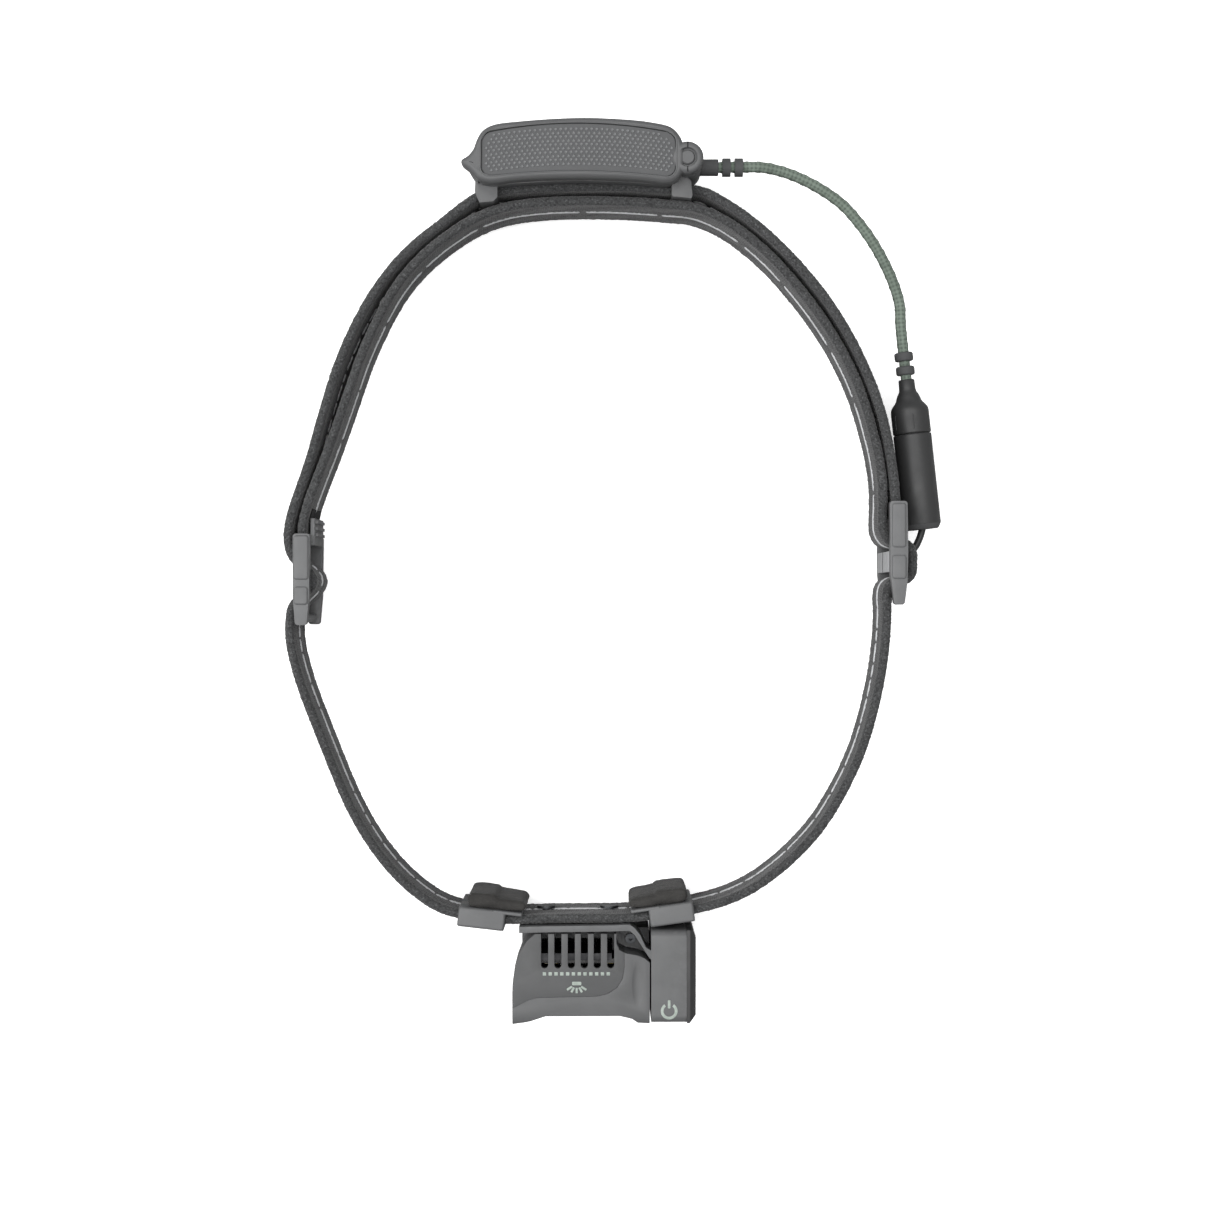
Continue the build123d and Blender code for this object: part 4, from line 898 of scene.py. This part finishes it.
# --------------------------------------------------------------------------
# soft pads: blown up a little as cloth so that their edges bulge
# --------------------------------------------------------------------------
def cushion(node, name, step, voxel=0.0011, pressure=4.0, cap=0.0007):
    src = NODES[node]
    me = src.data.copy()
    ob = bpy.data.objects.new(name, me)
    bpy.context.scene.collection.objects.link(ob)
    rm = ob.modifiers.new("r", "REMESH")
    rm.mode = "VOXEL"
    rm.voxel_size = voxel
    sm = ob.modifiers.new("s", "SMOOTH")
    sm.factor = 0.6
    sm.iterations = 3
    apply_mods(ob)
    base = np.empty(len(ob.data.vertices) * 3)
    ob.data.vertices.foreach_get("co", base)
    base = base.reshape(-1, 3)
    cl = ob.modifiers.new("c", "CLOTH")
    st = cl.settings
    st.quality = 6
    st.mass = 0.15
    st.use_pressure = True
    st.uniform_pressure_force = pressure
    st.tension_stiffness = 12.0
    st.compression_stiffness = 12.0
    st.shear_stiffness = 6.0
    st.bending_stiffness = 0.3
    st.effector_weights.gravity = 0.0
    cl.point_cache.frame_start, cl.point_cache.frame_end = 1, 20
    sc = bpy.context.scene
    for f in range(1, 21):
        sc.frame_set(f)
        bpy.context.view_layer.update()
        dg = bpy.context.evaluated_depsgraph_get()
        ob.evaluated_get(dg).data.vertices[0].co[0]
    apply_mods(ob)
    sc.frame_set(1)
    co = np.empty(len(ob.data.vertices) * 3)
    ob.data.vertices.foreach_get("co", co)
    co = co.reshape(-1, 3)
    if co.shape != base.shape or not np.isfinite(co).all():
        co = base.copy()
    mv = co - base
    ln = np.linalg.norm(mv, axis=1)
    k = np.minimum(1.0, cap / np.maximum(ln, 1e-9))
    co = base + mv * k[:, None]
    ob.data.vertices.foreach_set("co", co.ravel())
    sd = ob.modifiers.new("sub", "SUBSURF")
    sd.levels = sd.render_levels = 1
    apply_mods(ob)
    me = ob.data
    (px, py), sg = step
    i = band_index(px, py)
    t = np.array([BP[i + 3, 0] - BP[i - 3, 0], BP[i + 3, 1] - BP[i - 3, 1]])
    t /= np.linalg.norm(t)
    for v in me.vertices:       # the half that lies on the carrier is a little thinner
        dx, dy = v.co.x * 1000 - BP[i, 0], v.co.y * 1000 - BP[i, 1]
        lx, ly = (dx * t[0] + dy * t[1]) * sg, -dx * t[1] + dy * t[0]
        k = min(1.0, max(0.0, (lx - 3.1) / 0.9))
        g = min(1.0, max(0.0, (ly - 4.6) / 1.4)) * (k * k * (3 - 2 * k)) * 0.0006
        v.co.x -= -t[1] * g
        v.co.y -= t[0] * g
    for v in me.vertices:
        n = noise.noise(v.co * 900.0) * 0.00007 + noise.noise(v.co * 260.0) * 0.00012
        v.co += v.normal * n
    me.materials.clear()
    me.materials.append(MATS["pad_foam"])
    shade(ob, 70.0)
    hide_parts(node)
    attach(ob, "root")
    return ob


cushion("forehead_pad_right", "pad_right_soft", ((-31.6, -100.2), 1))
cushion("forehead_pad_left", "pad_left_soft", ((21.6, -98.9), -1))

# --------------------------------------------------------------------------
# moulded parts with softened edges
# --------------------------------------------------------------------------
rounded_copy("battery_box", "box_shell", "root", 0.5)
housing = rounded_copy("lamp_housing", "housing_shell", "lamp_head", 0.45)
rounded_copy("lamp_top_cover", "cover_shell", "lamp_head", 0.3)
rounded_copy("lamp_bracket", "bracket_shell", "root", 0.5)
# the end cap takes a darker tone: painted shade for its sloping end facet, carried over the whole cap
rounded_copy("block_end_cap", "end_cap_shell", "root", 0.5, mat=MATS["cap_painted_shade"])
rounded_copy("strap_adjuster_right", "adjuster_right_frame", "root", 0.7)
rounded_copy("strap_adjuster_left", "adjuster_left_frame", "root", 0.7)
rounded_copy("cable_gland", "gland_bend_relief", "root", 0.45)
rounded_copy("front_bezel", "bezel_front", "lamp_head", 0.3)

# soft hollow on the shoulder of the housing beside the switch block
bpy.ops.mesh.primitive_uv_sphere_add(segments=64, ring_count=48, radius=1.0)
ball = bpy.context.active_object
for v in ball.data.vertices:
    v.co = Vector((0.01195 + v.co.x * 0.0055, -0.1185 + v.co.y * 0.021, 0.0248 + v.co.z * 0.0103))
boolean(housing, [ball])
shade(housing, 38.0)

# --------------------------------------------------------------------------
# battery lid inlay: rubber pad with raised staggered drops
# --------------------------------------------------------------------------
def arc3(a, b, c, n=14):
    """Points on the circle through a, b, c from a to c."""
    (ax, ay), (bx, by), (cx, cy) = a, b, c
    d = 2 * (ax * (by - cy) + bx * (cy - ay) + cx * (ay - by))
    ux = ((ax**2 + ay**2) * (by - cy) + (bx**2 + by**2) * (cy - ay) + (cx**2 + cy**2) * (ay - by)) / d
    uy = ((ax**2 + ay**2) * (cx - bx) + (bx**2 + by**2) * (ax - cx) + (cx**2 + cy**2) * (bx - ax)) / d
    r = math.hypot(ax - ux, ay - uy)
    t0, t1, t2 = (math.atan2(p[1] - uy, p[0] - ux) for p in (a, b, c))
    d1 = (t1 - t0 + math.pi) % PI2 - math.pi
    d2 = (t2 - t1 + math.pi) % PI2 - math.pi
    return [(ux + r * math.cos(t0 + (d1 + d2) * k / n), uy + r * math.sin(t0 + (d1 + d2) * k / n)) for k in range(n)]


def inlay_ring(d=0.0):
    p = arc3((-28.4 + d, 118.0 - d), (-4.4, 120.2 - d), (19.2 - d, 118.0 - d), 40)
    p += arc3((19.2 - d, 118.0 - d), (21.4 - d, 117.0 - d), (22.3 - d, 114.7), 8)
    p += [(22.3 - d, 114.7), (22.3 - d, 111.6)]
    p += arc3((22.3 - d, 108.6), (21.6 - d, 106.4 + d), (19.6 - d, 105.5 + d), 8)
    p += arc3((19.6 - d, 105.5 + d), (-4.4, 107.1 + d), (-28.6 + d, 105.7 + d), 40)
    p += arc3((-28.6 + d, 105.7 + d), (-30.7 + d, 106.6 + d), (-31.3 + d, 108.8), 8)
    p += [(-31.3 + d, 108.8), (-31.3 + d, 111.6)]
    p += arc3((-31.3 + d, 114.7), (-30.4 + d, 117.0 - d), (-28.4 + d, 118.0 - d), 8)
    return np.array(p)


# floor of the inlay in the darker tone: painted shade between the drops
pad_base = rounded_slab("pad", inlay_ring(0.06), 21.84, 22.55, 0.05, 0.2, MATS["grip_floor_painted_shade"])
drops = []
dv, df = [], []
rows, cols = 11, 34
inner = inlay_ring(1.0)
inner_c = ccw(inner)


def inside(p, poly):
    x, y = p
    c = False
    n = len(poly)
    j = n - 1
    for i in range(n):
        if (poly[i][1] > y) != (poly[j][1] > y) and x < (poly[j][0] - poly[i][0]) * (y - poly[i][1]) / (poly[j][1] - poly[i][1] + 1e-12) + poly[i][0]:
            c = not c
        j = i
    return c


pu, pv = 1.42, 1.06
row = 0
for row in range(-8, 9):
    for col in range(-24, 25):
        x = -4.4 + (col + (0.5 if row % 2 else 0.0)) * pu
        bow = 0.0031 * (x + 4.4) ** 2
        y = 112.9 + row * pv - bow + 0.4
        if not inside((x, y), inner_c):
            continue
        base = len(dv)
        # drop: rounded at one end, pointed at the other, with a dished top
        shape = [(0.0, 0.50), (0.20, 0.18), (0.34, -0.08), (0.26, -0.34), (0.0, -0.44), (-0.26, -0.34), (-0.34, -0.08), (-0.20, 0.18)]
        flip = -1 if row % 2 else 1
        for (sx, sy) in shape:
            dv.append((x + sx * 1.25, y + sy * flip, 22.50))
        for (sx, sy) in shape:
            dv.append((x + sx * 0.95, y + sy * 0.8 * flip, 22.82))
        for (sx, sy) in shape:
            dv.append((x + sx * 0.35, y + sy * 0.3 * flip, 22.70))
        for k in range(8):
            l = (k + 1) % 8
            df.append((base + k, base + l, base + 8 + l, base + 8 + k))
            df.append((base + 8 + k, base + 8 + l, base + 16 + l, base + 16 + k))
        df.append(tuple(base + 16 + k for k in range(8)))
        df.append(tuple(base + 7 - k for k in range(8)))
# drops in the paler tone: painted highlight on the raised drops
drop_ob = new_obj("drops", dv, df, MATS["grip_drops_painted_highlight"], True, 40.0)
inlay = join([pad_base, drop_ob], "inlay_dimpled")
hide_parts("lid_grip_inlay")
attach(inlay, "lid")

# bead round the inlay
ring = inlay_ring(-0.25)
ringp = np.array([(x, y, 22.86) for x, y in ring])
bv, bf = [], []
for i in range(len(ringp)):
    j = (i + 1) % len(ringp)
    t = ringp[j] - ringp[i - 1]
    t /= np.linalg.norm(t)
    s = np.cross(t, (0, 0, 1.0))
    for k in range(8):
        a = PI2 * k / 8
        bv.append(tuple(ringp[i] + 0.26 * (math.cos(a) * s + math.sin(a) * np.array([0, 0, 1.0]))))
        bf.append((i * 8 + k, j * 8 + k, j * 8 + (k + 1) % 8, i * 8 + (k + 1) % 8))
bead = new_obj("inlay_bead", bv, bf, MATS["box_plastic"], True, 60.0)
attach(bead, "lid")

# --------------------------------------------------------------------------
# braided cable
# --------------------------------------------------------------------------
CP, CS = even(catmull(CABLE, 1.0), 0.3)
seg = 32
rings = []
T = np.gradient(CP, axis=0)
T /= np.linalg.norm(T, axis=1)[:, None]
up = np.array([0, 0, 1.0])
S = np.cross(T, up)
S /= np.linalg.norm(S, axis=1)[:, None]
Uv = np.cross(S, T)
ang = np.arange(seg) * PI2 / seg
cg = np.empty((len(CP), seg, 3))
ph = CS / 3.4 * PI2
for k, a in enumerate(ang):
    p1 = np.sin(4 * a + ph)
    p2 = np.sin(4 * a - ph)
    r = 1.5 + 0.09 * np.maximum(p1, p2) + 0.05 * np.sign(p1 * p2)
    cg[:, k] = CP + (S * math.cos(a) + Uv * math.sin(a)) * r[:, None]
cable = grid_mesh("cable_braided", cg, MATS["cable_braid"], CS, np.arange(seg + 1) / seg * 1000.0, angle=60.0)
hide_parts("battery_cable")
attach(cable, "root")

# --------------------------------------------------------------------------
# printed marks: plain level bars, a small beam sign, a power sign
# --------------------------------------------------------------------------
def flat_mark(name, polys, z, thick, body, mat="mint"):
    obs = []
    for p in polys:
        obs.append(rounded_slab("m", p, z - 0.05, z + thick, 0.02, 0.03, MATS[mat], seg=2))
    ob = join(obs, name)
    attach(ob, body)
    return ob


def rect(cx, cy, w, h, r=0.15):
    return round_poly([(cx - w / 2, cy - h / 2), (cx + w / 2, cy - h / 2), (cx + w / 2, cy + h / 2), (cx - w / 2, cy + h / 2)], r, 3)


def ring_arc(cx, cy, r0, r1, a0, a1, n=28):
    o = [(cx + r1 * math.cos(math.radians(a0 + (a1 - a0) * k / n)), cy + r1 * math.sin(math.radians(a0 + (a1 - a0) * k / n))) for k in range(n + 1)]
    i = [(cx + r0 * math.cos(math.radians(a0 + (a1 - a0) * k / n)), cy + r0 * math.sin(math.radians(a0 + (a1 - a0) * k / n))) for k in range(n + 1)]
    return np.array(o + i[::-1])


bars = [rect(-14.1 + 1.62 * k, -115.5, 0.95, 0.95, 0.1) for k in range(12)]
flat_mark("mark_level_row", bars, 15.0, 0.05, "lamp_head")
beam = [rect(-5.1, -118.2, 2.6, 1.0, 0.3)]
for a in (-52, -26, 0, 26, 52):
    c, s = math.sin(math.radians(a)), math.cos(math.radians(a))
    x0, y0 = -5.1 + c * 1.6, -118.5 - s * 0.9
    x1, y1 = -5.1 + c * 3.4, -118.5 - s * 2.4
    nx, ny = -(y1 - y0), (x1 - x0)
    l = math.hypot(nx, ny)
    nx, ny = nx / l * 0.3, ny / l * 0.3
    beam.append(np.array([(x0 - nx, y0 - ny), (x1 - nx, y1 - ny), (x1 + nx, y1 + ny), (x0 + nx, y0 + ny)]))
flat_mark("mark_beam", beam, 15.0, 0.05, "lamp_head")
power = [ring_arc(20.7, -125.9, 1.55, 2.35, 125, 415), rect(20.7, -124.0, 0.75, 2.3, 0.2)]
flat_mark("mark_power", power, 15.0, 0.05, "root")


# --------------------------------------------------------------------------
# battery lid: one smooth crowned shell with a round lug
# --------------------------------------------------------------------------
LID_LINE = [(-37.0, 109.8), (-36.6, 108.9), (-34.6, 107.3), (-33.4, 106.2), (-32.2, 104.9), (-30.6, 104.2), (-28.4, 103.9),
            (-22.0, 104.65), (-14.0, 105.15), (-4.0, 105.3), (6.0, 105.1), (14.0, 104.6), (20.0, 104.0), (22.0, 104.5),
            (23.5, 105.8), (24.5, 107.8), (24.8, 110.6), (24.6, 113.6), (23.8, 116.2), (22.4, 118.2), (20.6, 119.5),
            (14.0, 120.9), (6.0, 121.6), (-3.0, 121.9), (-12.0, 121.6), (-20.0, 121.0), (-27.0, 120.2), (-29.6, 119.3),
            (-31.4, 117.9), (-32.6, 115.8), (-33.6, 113.2), (-35.2, 111.3), (-36.7, 110.4)]
LN = 220


def start_left(P):
    P = ccw(np.asarray(P, float))
    c = P.mean(axis=0)
    k = int(np.argmin(np.abs(np.arctan2(P[:, 1] - 112.5, P[:, 0] - c[0]) - math.pi * 0.999)))
    return np.roll(P, -k, axis=0)


lid_plan = resample(start_left(resample(catmull(LID_LINE, 0.4, closed=True), 900)), LN)
seat_plan = resample(start_left(resample(inlay_ring(-0.05), 900)), LN)
hollow = resample(start_left(resample(round_poly([(-29.6, 108.2), (20.4, 108.0), (20.4, 116.6), (8.0, 118.8), (-3.0, 119.2), (-14.0, 118.8), (-29.0, 117.0)], 1.2), 900)), LN)
rings = [at_z(hollow, 20.2), at_z(hollow, 17.7), at_z(hollow, 17.6), at_z(inset(lid_plan, 0.3), 17.6)]
for k in range(1, 4):
    a = math.pi / 2 * k / 3
    rings.append(at_z(inset(lid_plan, 0.3 * (1 - math.sin(a))), 17.6 + 0.3 * (1 - math.cos(a))))
RT = 1.7
for k in range(0, 9):
    a = math.pi / 2 * k / 8
    rings.append(at_z(inset(lid_plan, RT * 0.8 * (1 - math.cos(a))), 23.0 - RT * (1 - math.sin(a))))
# gentle fall towards the inlay, a crisp lip, then the seat
last = rings[-1]
seat_hi = at_z(seat_plan, 22.86)
rings.append(last * 0.5 + seat_hi * 0.5 + np.array([0, 0, 0.05]))
rings.append(seat_hi)
rings.append(at_z(seat_plan, 21.8))
lid_body = loft("lid_body", rings, MATS["box_plastic"], angle=45.0)
lug = revolve_axis("lid_lug", [(17.6, 2.1), (17.6, 4.2), (17.8, 4.4), (21.9, 4.4), (22.6, 4.15), (22.95, 3.6), (23.0, 3.0), (23.0, 2.75), (22.7, 2.5), (22.1, 2.4), (22.1, 2.1)],
                   (25.6, 110.9, 0.0), (0, 0, 1), MATS["box_plastic"], closed=True, angle=50.0)
ticks = [rounded_slab("tick", rect(25.6, 110.9 + d, 0.35, 1.5, 0.1), 22.6, 23.03, 0.02, 0.02, MATS["seam_dark"], seg=1) for d in (3.3, -3.3)]
lid_shell = join([lid_body, lug] + ticks, "lid_shell")
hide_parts("battery_lid")
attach(lid_shell, "lid")


# --------------------------------------------------------------------------
# band clips: folded jaws with a carrier for each pad
# --------------------------------------------------------------------------
def clip_piece(node, name, at, length, sign):
    i = band_index(*at)
    a, b = BP[i - 3], BP[i + 3]
    ang = math.atan2(b[1] - a[1], b[0] - a[0])
    c, s_ = math.cos(ang), math.sin(ang)

    def place(P):
        P = np.asarray(P, float)
        return np.column_stack([BP[i, 0] + P[:, 0] * c - P[:, 1] * s_, BP[i, 1] + P[:, 0] * s_ + P[:, 1] * c])

    m = MATS["clip_plastic"]
    hx = length / 2
    obs = []
    for z0, z1, r0, r1 in ((12.95, 14.6, 0.1, 0.75), (-14.6, -12.95, 0.75, 0.1)):
        obs.append(rounded_slab("c", place(round_poly([(-hx, -2.8), (hx, -2.8), (hx, 2.8), (-hx, 2.8)], 0.9)), z0, z1, r0, r1, m))
    obs.append(rounded_slab("c", place(round_poly([(-hx, -2.8), (hx, -2.8), (hx, -1.62), (-hx, -1.62)], 0.45)), -13.6, 13.6, 0.1, 0.1, m))
    obs.append(rounded_slab("c", place(round_poly([(-hx, 1.62), (hx, 1.62), (hx, 2.8), (-hx, 2.8)], 0.45)), -13.6, 13.6, 0.1, 0.1, m))
    x0, x1 = sorted((sign * 3.0, sign * 11.2))
    obs.append(rounded_slab("c", place(round_poly([(x0, 1.85), (x1, 1.85), (x1, 2.85), (x0, 2.85)], 0.4)), -14.6, 14.6, 0.4, 0.4, m))
    for zz in (-9.0, -3.0, 3.0, 9.0):     # grip ribs on the front jaw
        obs.append(rounded_slab("c", place(round_poly([(-hx + 1.4, -3.05), (hx - 1.4, -3.05), (hx - 1.4, -2.6), (-hx + 1.4, -2.6)], 0.2)), zz - 0.5, zz + 0.5, 0.2, 0.2, m))
    ob = join(obs, name)
    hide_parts(node)
    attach(ob, "root")


clip_piece("band_clip_right", "clip_right_shell", (-31.6, -100.2), 13.2, 1)
clip_piece("band_clip_left", "clip_left_shell", (21.6, -98.9), 12.6, -1)

# --------------------------------------------------------------------------
# lamp lead: short curved tail from the connector into the pocket of the band
# --------------------------------------------------------------------------
k0, k1 = band_index(23.0, -98.8), band_index(89.1, 1.5)
core = [(p[0], p[1]) for p in BP[k0 + 3:k1 - 1:3]][::-1]
tail = catmull([(93.55, 9.9), (93.3, 8.6), (92.6, 6.4), (91.4, 4.0), (90.2, 2.6), (89.3, 1.4)], 0.5)
path = [tuple(p) for p in tail] + core + [(23.6, -100.4), (23.6, -102.4), (23.6, -104.2)]
PP, PS = even(np.array(path), 0.6)
PN = frame2d(PP)
lv = np.empty((len(PP), 12, 3))
for q in range(12):
    a = PI2 * q / 12
    blend = np.clip((PS - 7.0) / 3.0, 0, 1)
    hw = 1.0 + (0.36 - 1.0) * blend
    hz = 1.15 + (2.5 - 1.15) * blend
    lv[:, q, 0] = PP[:, 0] + PN[:, 0] * hw * math.cos(a)
    lv[:, q, 1] = PP[:, 1] + PN[:, 1] * hw * math.cos(a)
    lv[:, q, 2] = hz * math.sin(a)
lead = grid_mesh("lead_flat", lv, MATS["wire_jacket"], PS)
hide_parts("lamp_lead")
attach(lead, "root")

# --------------------------------------------------------------------------
# in-line connector, turned about its own axis
# --------------------------------------------------------------------------
CO, CA = (90.2, 39.2, 0.0), (0.1075, -0.9942, 0.0)
plug_prof = [(-12.6, 1.72), (-12.6, 2.05), (-12.35, 2.28), (-9.9, 2.34), (-9.1, 2.5), (-8.4, 2.95), (-7.6, 3.3), (-6.6, 3.62), (-5.9, 4.05),
             (-5.2, 4.7), (-4.6, 5.1), (-3.9, 5.34), (-3.2, 5.42), (2.55, 5.42), (2.82, 5.32), (2.95, 5.1), (2.95, 4.5), (5.6, 4.5),
             (5.6, 3.9), (7.0, 3.9), (7.0, 4.5), (8.6, 4.5), (8.6, 3.2), (5.0, 3.2), (5.0, 0.05)]
plug_parts = [revolve_axis("pl", plug_prof, CO, CA, MATS["connector_plastic"], seg=72, angle=50.0)]
for t0, t1 in ((-16.4, -13.9), (-20.4, -17.9)):
    plug_parts.append(revolve_axis("pr", [(t0, 1.75), (t0, 2.2), (t0 + 0.15, 2.5), (t0 + 0.5, 2.66), (t1 - 0.5, 2.66), (t1 - 0.15, 2.5), (t1, 2.2), (t1, 1.75)],
                                   CO, CA, MATS["gland_rubber"], seg=40, closed=True, angle=60.0))
for a in range(6):      # finger flutes on the plug
    w = PI2 * (a + 0.5) / 6
    s_ = Vector((-CA[1], CA[0], 0)) * math.cos(w) + Vector((0, 0, 1)) * math.sin(w)
    p0 = Vector(CO) + Vector(CA) * -2.4 + s_ * 5.38
    p1 = Vector(CO) + Vector(CA) * 1.8 + s_ * 5.38
    plug_parts.append(tube("fl", [tuple(p0.lerp(p1, q / 6)) for q in range(7)], 0.2, MATS["connector_plastic"], seg=8))
plug = join(plug_parts, "plug_shell")
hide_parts("plug_body")
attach(plug, "root")
sock_prof = [(3.1, 4.75), (3.1, 5.15), (3.25, 5.35), (3.5, 5.42), (28.5, 5.42), (28.9, 5.36), (29.3, 5.15), (30.1, 4.7), (30.4, 4.4), (30.4, 1.95),
             (27.6, 1.95), (27.6, 4.0), (12.6, 4.0), (12.6, 4.75)]
sock = revolve_axis("socket_shell", sock_prof, CO, CA, MATS["connector_plastic"], seg=72, closed=True, angle=50.0)
sock.data.materials.append(MATS["gland_rubber"])
for f in sock.data.polygons:
    c = f.center
    t = (c.x * 1000 - CO[0]) * CA[0] + (c.y * 1000 - CO[1]) * CA[1]
    if t > 28.95:
        f.material_index = 1
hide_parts("socket_body")
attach(sock, "root")

# -------------------------------------------------------------------------- adjusters: saddles moulded on the rails, as on a ladder slide
# adjusters: saddles and a waist moulded on the rails, as on a ladder slide
# --------------------------------------------------------------------------
def saddle(x0, x1, y0, y1, z0, z1, mat, r=0.6):
    return rounded_slab("s", round_poly([(x0, y0), (x1, y0), (x1, y1), (x0, y1)], 0.9), z0, z1, 0.05, r, mat, seg=4)


def mirrored(ob):
    me = ob.data.copy()
    for v in me.vertices:
        v.co.z = -v.co.z
    me.flip_normals()
    o2 = bpy.data.objects.new(ob.name + "m", me)
    bpy.context.scene.collection.objects.link(o2)
    return o2


parts = []
for x0, x1, y0, y1 in ((-84.05, -79.75, -5.6, 6.9), (-83.95, -79.95, -12.6, -7.4)):
    a = saddle(x0, x1, y0, y1, 15.4, 16.45, MATS["adjuster_plastic"])
    parts += [a, mirrored(a)]
ob = join(parts, "adjuster_right_saddles")
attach(ob, "root")
parts = []
for x0, x1, y0, y1 in ((82.75, 86.75, 3.4, 15.9), (82.75, 86.85, -5.4, 1.4)):
    a = saddle(x0, x1, y0, y1, 15.4, 16.45, MATS["adjuster_plastic"])
    parts += [a, mirrored(a)]
ob = join(parts, "adjuster_left_saddles")
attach(ob, "root")

# painted highlight: a pale slab on the inner face of the wide bar stands in for the light falling on that face; beside
# it the bar's parting line
face = rounded_slab("adjuster_left_bar_painted_highlight", round_poly([(82.12, -3.35), (82.6, -3.35), (82.6, 2.45), (82.12, 2.45)], 0.15), -12.5, 12.5, 0.15, 0.15, MATS["bar_painted_highlight"], seg=3)
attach(face, "root")
seam = rounded_slab("bar_parting_line", round_poly([(82.05, -3.3), (82.2, -3.3), (82.2, 2.4), (82.05, 2.4)], 0.05), -0.2, 0.2, 0.03, 0.03, MATS["seam_dark"], seg=1)
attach(seam, "root")

# --------------------------------------------------------------------------
# switch block: button face with a moulded ring and a ring of small dots, on a stem
# --------------------------------------------------------------------------
bx, by, bz = 27.25, -116.4, -1.0
btn = revolve_axis("button_cap", [(26.2, 0.3), (26.2, 5.9), (27.7, 5.98), (28.05, 5.85), (28.28, 5.5), (28.3, 4.6), (28.18, 4.2), (28.08, 3.6), (28.05, 2.0), (28.06, 0.3)],
                   (0, by, bz), (1, 0, 0), MATS["soft_rubber"], seg=64, angle=60.0)
dots = []
for k in range(12):
    a = PI2 * k / 12
    dots.append(revolve_axis("d", [(28.0, 0.36), (28.14, 0.33), (28.2, 0.2), (28.22, 0.05)], (0, by + 3.0 * math.cos(a), bz + 3.0 * math.sin(a)), (1, 0, 0), MATS["soft_rubber"], seg=10))
stem = revolve_axis("st", [(24.0, 1.35), (24.1, 1.4), (26.3, 1.4)], (0, by, bz), (1, 0, 0), MATS["soft_rubber"], seg=24)
btn = join([btn, stem] + dots, "button_dimpled")
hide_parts("power_button")
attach(btn, "button")

# --------------------------------------------------------------------------
# floor, light, camera
# --------------------------------------------------------------------------
scene = bpy.context.scene
floor_mat = Mat("floor_pale")
fn = floor_mat.noise(9.0, 3.0)
lp = floor_mat.node("ShaderNodeLightPath")
fcol = floor_mat.mix(lp.outputs["Is Camera Ray"], (0.34, 0.34, 0.34), floor_mat.ramp(fn, [(0.3, (0.94, 0.94, 0.94)), (0.7, (0.96, 0.96, 0.96))]))
floor_mat.b.inputs["Emission Color"].default_value = (1, 1, 1, 1)
floor_mat.link(floor_mat.math("MULTIPLY", lp.outputs["Is Camera Ray"], 0.45), floor_mat.b.inputs["Emission Strength"])
floor_mat.set(fcol, 0.9, floor_mat.bump(floor_mat.noise(500.0), 0.02, 0.0001), Specular_IOR_Level=0.1)
bpy.ops.mesh.primitive_plane_add(size=60.0, location=(0, 0, -0.0172))
floor = bpy.context.active_object
floor.name = "floor"
floor.data.materials.append(floor_mat.m)


def area(name, loc, target, size, power):
    li = bpy.data.lights.new(name, "AREA")
    li.shape = "RECTANGLE"
    li.size, li.size_y = size
    li.energy = power
    ob = bpy.data.objects.new(name, li)
    ob.location = loc
    ob.rotation_euler = (Vector(target) - Vector(loc)).to_track_quat("-Z", "Y").to_euler()
    scene.collection.objects.link(ob)
    return ob


area("key_left", (-1.35, 0.15, 1.25), (0, 0, 0), (1.5, 1.5), 31.0)
area("fill_right", (1.5, 0.2, 1.1), (0, 0, 0), (1.2, 1.2), 1.5)
area("top", (0.0, 0.1, 2.2), (0, 0, 0), (2.4, 2.4), 58.0)

world = bpy.data.worlds.new("studio")
world.use_nodes = True
wn = world.node_tree
bg = wn.nodes.get("Background") or wn.nodes.new("ShaderNodeBackground")
bg.inputs[0].default_value = (1.0, 1.0, 1.0, 1)
bg.inputs[1].default_value = 0.42
scene.world = world

cam_data = bpy.data.cameras.new("camera")
cam_data.sensor_width = 36.0
cam_data.sensor_fit = "HORIZONTAL"
cam_data.lens = 66.7
cam_data.clip_start = 0.02
cam_data.clip_end = 20.0
cam = bpy.data.objects.new("camera", cam_data)
cam.location = (0.00336, -0.01316, 0.6425)
cam.rotation_euler = (0, 0, 0)
scene.collection.objects.link(cam)
scene.camera = cam
scene.view_settings.view_transform = "Standard"
scene.view_settings.look = "None"
scene.view_settings.exposure = 0.0
